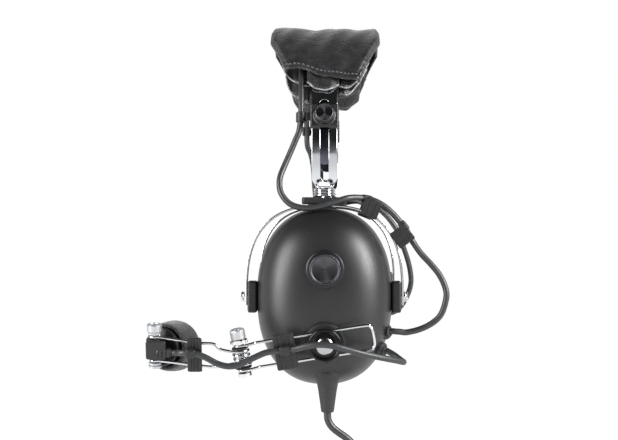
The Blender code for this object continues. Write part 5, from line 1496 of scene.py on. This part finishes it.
points += [
    boom(54.5, -13.3, wire_t - COIL_RADIUS + 0.2), boom(59.0, -13.9, wire_t - 2.2),
    boom(64.0, -13.5, wire_t + 1.0)
]
points += [
    boom(69.8, -12.6, eye_t), boom(79.3, -11.2, eye_t + 0.3), boom(MIC_P - 4, lower + 0.1, eye_t),
    *ends["lower"]
]
front_wire = wire("boom_coiled_wire", points, "boom_front")
fit(front_wire, "wire", "boom_wire_front")
front_low = eye_t + 0.5 + WIRE_RADIUS + 0.3
boom_clip(
    "boom_front_clip", "boom_clip_front", boom, 75.2, -4.8, 3.9, 10.2, front_low, (1.9, -11.3), "boom_front",
)


# Microphone: a moulded bracket on the end bolt carries the capsule, which faces the mouth, and a ribbed boot
# where the cable goes in. A knurled aluminium screw and a lobed washer hold it between the wires' eyes.
MIC_TURN = math.radians(64.0)
MIC_CENTRE = boom(MIC_P, MIC_Q, wire_t)
MIC_AIM = np.array([math.cos(MIC_TURN), math.sin(MIC_TURN), 0.0])
MIC_STANDOFF = 6.6  # from the bolt to the capsule's back
half_bracket = MIC_HALF_GAP - WIRE_RADIUS - 0.3

profile = [
    (1.9, -half_bracket), (4.5, -half_bracket), (5.0, -half_bracket + 0.5), (5.0, half_bracket - 0.5),
    (4.5, half_bracket), (1.9, half_bracket)
]
bracket = turned("mic_bracket", profile, MIC_CENTRE, BOOM_UP, moulded_nylon, "mic", 48, loop=True)
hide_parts("mic_housing")
profile = [
    (3.4, 3.0), (3.6, MIC_STANDOFF + 0.2), (10.6, MIC_STANDOFF), (11.3, MIC_STANDOFF + 0.7),
    (11.3, MIC_STANDOFF + 9.2), (10.6, MIC_STANDOFF + 9.9), (1.0, MIC_STANDOFF + 10.0)
]
capsule = turned("mic_capsule", profile, MIC_CENTRE, MIC_AIM, moulded_nylon, "mic", 96)
boot_start = boom(MIC_P - 1.5, MIC_Q - 1.8, wire_t + 3.6)
profile = [(1.6, -0.4), (3.0, -0.2), (3.1, 0.2)]
for number in range(3):
    at = 1.0 + number * 2.2
    profile += [
        (2.45, at), (2.45, at + 0.4), (3.1 - 0.12 * number, at + 0.7), (3.1 - 0.12 * number, at + 1.7),
        (2.45, at + 2.0)
    ]
profile += [(2.4, 8.0), (2.2, 8.5), (1.6, 8.6)]
boot = turned("mic_cable_boot", profile, boot_start, -BOOM_FORWARD, boot_rubber, "mic", 48)
cheek = block(
    "mic_cheek", lambda i: rounded(5.8 - i, half_bracket - 0.4 - i, 1.2),
    lambda ab, c: boom(MIC_P - 1.0 - ab[:, 0], MIC_Q + ab[:, 1], c),
    wire_t + 3.2, wire_t + 5.6, 0.6, moulded_nylon, "mic",
)
for piece in (bracket, capsule, cheek):
    fit(piece, "shell")
fit(boot, "fittings")

seat = MIC_HALF_GAP + WIRE_RADIUS + 0.3
profile = [
    (3.4, -seat - 3.4), (4.0, -seat - 3.0), (4.0, -seat - 1.9), (3.4, -seat - 1.6), (3.8, -seat - 1.3),
    (3.8, -seat - 0.2), (1.5, -seat), (1.5, seat)
]
profile += [
    (3.1, seat), (3.5, seat + 0.3), (3.5, seat + 1.4), (3.0, seat + 1.8), (3.9, seat + 1.9),
    (4.4, seat + 2.2), (4.4, seat + 5.6), (3.9, seat + 6.1), (2.6, seat + 6.2), (2.4, seat + 5.7),
    (0.5, seat + 5.7)
]


def screw_shape(angle, at):
    """Three lobes on the washer and a diamond knurl on the grip above it."""
    washer_lobes, grip_knurl = lobes(3, 0.4, seat + 0.2, seat + 1.5), knurl(30, 0.5, seat + 2.3, seat + 5.5)
    return washer_lobes(angle, at) + grip_knurl(angle, at)


screw = turned(
    "mic_knurled_screw", profile, MIC_CENTRE, BOOM_UP, knurled_light, "mic_screw", 192, screw_shape,
)
fit(screw, "light_metal", "mic_thumb_screw")


# Foam muff: a cap of open-cell foam stretched over the capsule and rolled at its rim. Its pores are too fine
# to see singly, so they are drawn three quarters of a millimetre wide.

# Soft black foam with a little sheen at grazing angles; its colour is painted darker in the cells' hollows as
# painted shade, and lighter on their cut walls as a painted highlight.
muff_foam = principled("polyurethane foam, open cell", "#1b1b1c", 0.92, sheen_weight=0.35)
tree = muff_foam.node_tree
place = node(tree, "TexCoord").outputs["Object"]
pores = node(tree, "TexVoronoi", {"Vector": place, "Scale": 1 / (0.75 * MM)})
relief(muff_foam, pores.outputs["Distance"], 0.45)
# Painted shade in the pores' hollows and a painted highlight on their walls, by the cells' distance.
shade = node(tree, "Mix", {"Factor": pores.outputs["Distance"]}, data_type="RGBA")
shade.inputs["A"].default_value = linear("#0c0c0d")
shade.inputs["B"].default_value = linear("#2a2a2c")
tree.links.new(shade.outputs["Result"], tree.nodes["Principled BSDF"].inputs["Base Color"])
back = MIC_STANDOFF + 1.2
MUFF_SHIFT = 1.5  # the muff sits askew on its capsule, pushed towards the cup
lip = np.linspace(-math.pi / 2, math.pi / 2, 9)
outside = [
    (13.3, back + 0.2), (14.0, back + 1.6), (14.5, back + 4.0), (14.85, back + 7.5), (15.0, back + 11.0),
    (14.7, back + 14.0)
]
outside += [
    (13.8, back + 16.6), (12.0, back + 19.0), (9.2, back + 20.8), (6.0, back + 21.7), (2.5, back + 22.0),
    (0.2, back + 22.0)
]
inside = [
    (0.2, MIC_STANDOFF + 10.3), (11.0, MIC_STANDOFF + 10.3), (11.7, MIC_STANDOFF + 9.6), (11.8, back + 0.3),
    (12.4, back - 0.1)
]
smooth_out = through(np.array([(r, at, 0.0) for r, at in outside]), 0.5)[:, :2]
muff = turned(
    "mic_muff", np.vstack([inside, smooth_out]), MIC_CENTRE + (MUFF_SHIFT, 0, 0), MIC_AIM, muff_foam, "mic",
    120, sharp=0,
)
fit(muff, "foam", "mic_foam")


# Held cables: thin soft PVC cable that feeds the right cup over the headband, and the microphone along the
# boom. Moulded clips hold both, so each is built in lengths between clips; a length between two moving parts
# rides on neither.
CABLE_RADIUS = 1.85
LEFT_CABLE = np.array([  # x, out from the cups' pivots and z, from the cup up to the band
    (37.4, 8.2, -162.0), (40.6, 9.1, -162.1), (44.8, 8.6, -162.5), (49.5, 8.0, -162.8), (57.7, 8.0, -160.7),
    (65.1, 8.5, -156.7), (69.9, 8.6, -151.3),
    (72.6, 8.5, -142.1), (72.0, 7.8, -136.0), (68.7, 6.8, -128.8), (63.9, 5.4, -122.7), (57.9, 3.6, -116.1),
    (53.1, 2.4, -109.2), (48.8, 2.0, -101.4), (45.8, 2.0, -97.7), (40.8, 2.0, -92.0), (35.4, 2.0, -87.4),
    (30.2, 1.9, -84.6), (25.0, 1.9, -83.2), (19.6, 4.8, -82.6), (13.8, 8.6, -83.0), (7.6, 10.4, -84.9),
    (0.6, 10.4, -87.2), (-7.2, 10.4, -88.8), (-15.0, 10.2, -88.4), (-21.2, 9.5, -85.8), (-25.7, 8.0, -80.0),
    (-26.8, 5.6, -74.3), (-26.2, 3.2, -69.3), (-23.7, 0.2, -62.7), (-20.3, -2.0, -54.7), (-17.4, -3.2, -47.6),
    (-15.2, -4.4, -41.9),
])
RIGHT_CABLE = np.array([
    (37.4, 8.2, -162.0), (40.6, 9.1, -162.1), (44.8, 8.4, -161.9), (49.0, 7.8, -160.2), (53.7, 7.6, -155.2),
    (57.8, 7.4, -147.0), (59.4, 7.0, -139.4),
    (58.6, 6.4, -131.0), (56.6, 5.0, -123.0), (53.4, 3.2, -113.8), (50.0, 2.2, -104.8), (45.8, 2.0, -97.9),
    (40.8, 2.0, -92.0), (35.4, 2.0, -87.4), (30.2, 1.9, -84.6), (25.0, 1.9, -83.2), (18.8, 5.2, -82.8),
    (11.0, 9.6, -84.4), (2.0, 10.6, -87.6), (-4.4, 10.4, -87.0), (-7.6, 9.2, -82.4), (-8.6, 7.2, -75.6),
    (-9.2, 5.2, -67.4), (-9.8, 3.4, -58.6), (-11.4, -0.4, -50.2), (-13.8, -4.0, -43.8),
])
MIC_CABLE = np.array([
    (-87.0, 35.4, -173.0), (-84.6, 37.2, -172.8), (-82.0, 40.4, -172.6), (-78.5, 41.4, -172.6),
    (-73.7, 41.2, -173.0),
    (-67.8, 40.8, -175.2), (-61.4, 40.4, -178.6), (-55.2, 40.4, -180.2), (-48.9, 40.2, -179.4),
    (-40.8, 39.0, -175.7),
    (-33.4, 37.6, -172.6), (-27.2, 37.2, -171.8), (-21.6, 37.4, -171.2), (-16.4, 38.4, -170.4),
    (-8.6, 40.6, -168.4),
    (-1.7, 41.6, -167.6), (5.3, 41.4, -168.3), (12.2, 40.0, -170.2), (22.7, 36.6, -173.2),
    (33.3, 31.0, -175.9),
    (42.3, 24.0, -178.2), (46.8, 18.6, -179.6), (45.2, 15.4, -178.6), (41.4, 13.0, -175.9),
    (37.0, 11.2, -173.4),
])


def placed(sign, points):
    """World places of a route of (x, out, z), whose z is measured from the origin."""
    return np.stack([points[:, 0], sign * (CUP_OFFSET + points[:, 1]), points[:, 2]], axis=1)


def length_of_cable(name, path, begin, finish_at, solid, body, other=None):
    """The cable between its places nearest begin and finish_at, riding on one body, or on none where there is
    a second.
    """
    first = int(np.argmin(np.linalg.norm(path - begin, axis=1)))
    last = int(np.argmin(np.linalg.norm(path - finish_at, axis=1)))
    piece = skin(
        name, carried(path[first : last + 1], ring_of(CABLE_RADIUS, 16)), cable_jacket,
        None if other else body, sharp=60,
    )
    fit(piece, "cable", solid)
    if other:
        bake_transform(piece)
    return piece


overhead = arc(-1, BAND_CABLE_X, BAND_CABLE_RADIUS, np.linspace(17, 163, 17))
whole = np.vstack([placed(-1, LEFT_CABLE), overhead, placed(1, RIGHT_CABLE)[::-1]])
crossover = through(whole, 1.0)
# Where each side's cable passes the lower clip, the saddle's end, the arm and the band's clip
PASSES = {
    "left": np.array([(48.8, 2.0, -101.4), (22.0, 3.2, -82.8), (-25.7, 8.0, -80.0), (-15.0, -4.2, -43.0)]),
    "right": np.array([(48.0, 2.0, -101.2), (22.0, 3.2, -82.8), (-8.6, 7.2, -75.6), (-14.0, -4.1, -43.4)]),
}
SWIVEL_BEND = {"left": -10, "right": -7}  # the point from which it leaves the stirrup, counted from the top
at_band = []
for (side, sign), points in zip(SIDES, (LEFT_CABLE, RIGHT_CABLE)):
    path = crossover if side == "left" else crossover[::-1]
    cup_end = placed(sign, points)[0]
    lower, saddle, on_arm_at, on_band = placed(sign, PASSES[side])
    leave = placed(sign, points)[SWIVEL_BEND[side]]
    stirrup_body, arm_body = f"stirrup_{side}", f"arm_{side}"
    for name, begin, finish_at, body, other, start in (
        ("cup", cup_end, lower, f"cup_{side}", stirrup_body, cup_end),
        ("strap", lower, saddle, stirrup_body, None, None),
        ("swivel", saddle, on_arm_at, stirrup_body, arm_body, leave),
        ("arm", on_arm_at, on_band, arm_body, "headband", on_arm_at),
    ):
        length_of_cable(
            f"cable_{name}_{side}", path, begin, finish_at, "crossover_cable", body, other,
        )
    at_band.append(on_band)
length_of_cable("cable_overhead", crossover, at_band[0], at_band[1], "crossover_cable", "headband")

mic_path = through(placed(-1, MIC_CABLE), 0.8)
joints_at = placed(-1, np.array([
    (-87.0, 35.4, -173.0), (-77.0, 41.4, -172.7), (-70.0, 41.0, -174.4), (-30.0, 37.4, -172.1),
    (-15.0, 38.8, -170.1),
    (37.0, 11.2, -173.4),
]))
for name, first, bend, last, body, other in (
    ("boot_end", 0, 0, 1, "mic", "boom_front"),
    ("elbow", 1, 2, 3, "boom_front", "boom_rear"),
    ("cup_end", 3, 4, 5, "boom_rear", "cup_left"),
):
    length_of_cable(
        f"mic_cable_{name}", mic_path, joints_at[first], joints_at[last], "mic_cable", body, other,
    )


def sleeve(name, path, centre, half_length, half_a, half_b, first, body):
    """A squared moulded band round a cable, centred at the place on its path nearest to centre."""
    steps = np.linalg.norm(np.diff(path[:2], axis=0), axis=1)[0]
    middle = int(np.argmin(np.linalg.norm(path - centre, axis=1)))
    span = max(2, int(round(half_length / steps)))
    part = path[max(0, middle - span) : middle + span + 1]
    section = rounded(half_a, half_b, 1.2, 5)
    scale = np.ones(len(part))
    scale[[0, -1]] = 0.9
    piece = flats(skin(name, carried(part, section, first=first, scale=scale), moulded_nylon, body))
    fit(piece, "fittings")
    return piece


ACROSS = (0, 1, 0)
for name, path, sign, centre, half_length, half_a, half_b, first, body in (
    ("boom_rear_cable_band", mic_path, -1, (-21.9, 37.3, -171.3), 3.4, 2.7, 2.5, BOOM_UP, "boom_rear"),
    ("boom_front_cable_band", mic_path, -1, (-76.3, 41.3, -172.8), 2.6, 2.6, 2.4, BOOM_UP, "boom_front"),
    ("strap_cable_band_upper_left", crossover, -1, (26.0, 1.9, -83.4), 2.6, 2.5, 2.3, ACROSS, "stirrup_left"),
    (
        "strap_cable_band_upper_right", crossover[::-1], 1, (26.0, 1.9, -83.4), 2.6, 2.5, 2.3, ACROSS,
        "stirrup_right"
    ),
    ("strap_cable_band_lower_left", crossover, -1, (47.2, 2.0, -99.4), 2.8, 2.6, 2.4, ACROSS, "stirrup_left"),
):
    sleeve(name, path, placed(sign, np.array([centre]))[0], half_length, half_a, half_b, first, body)


size = {"cad": [list(map(float, corner)) for corner in frame_box]}
size["visual"] = [list(map(float, corner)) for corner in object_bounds()]
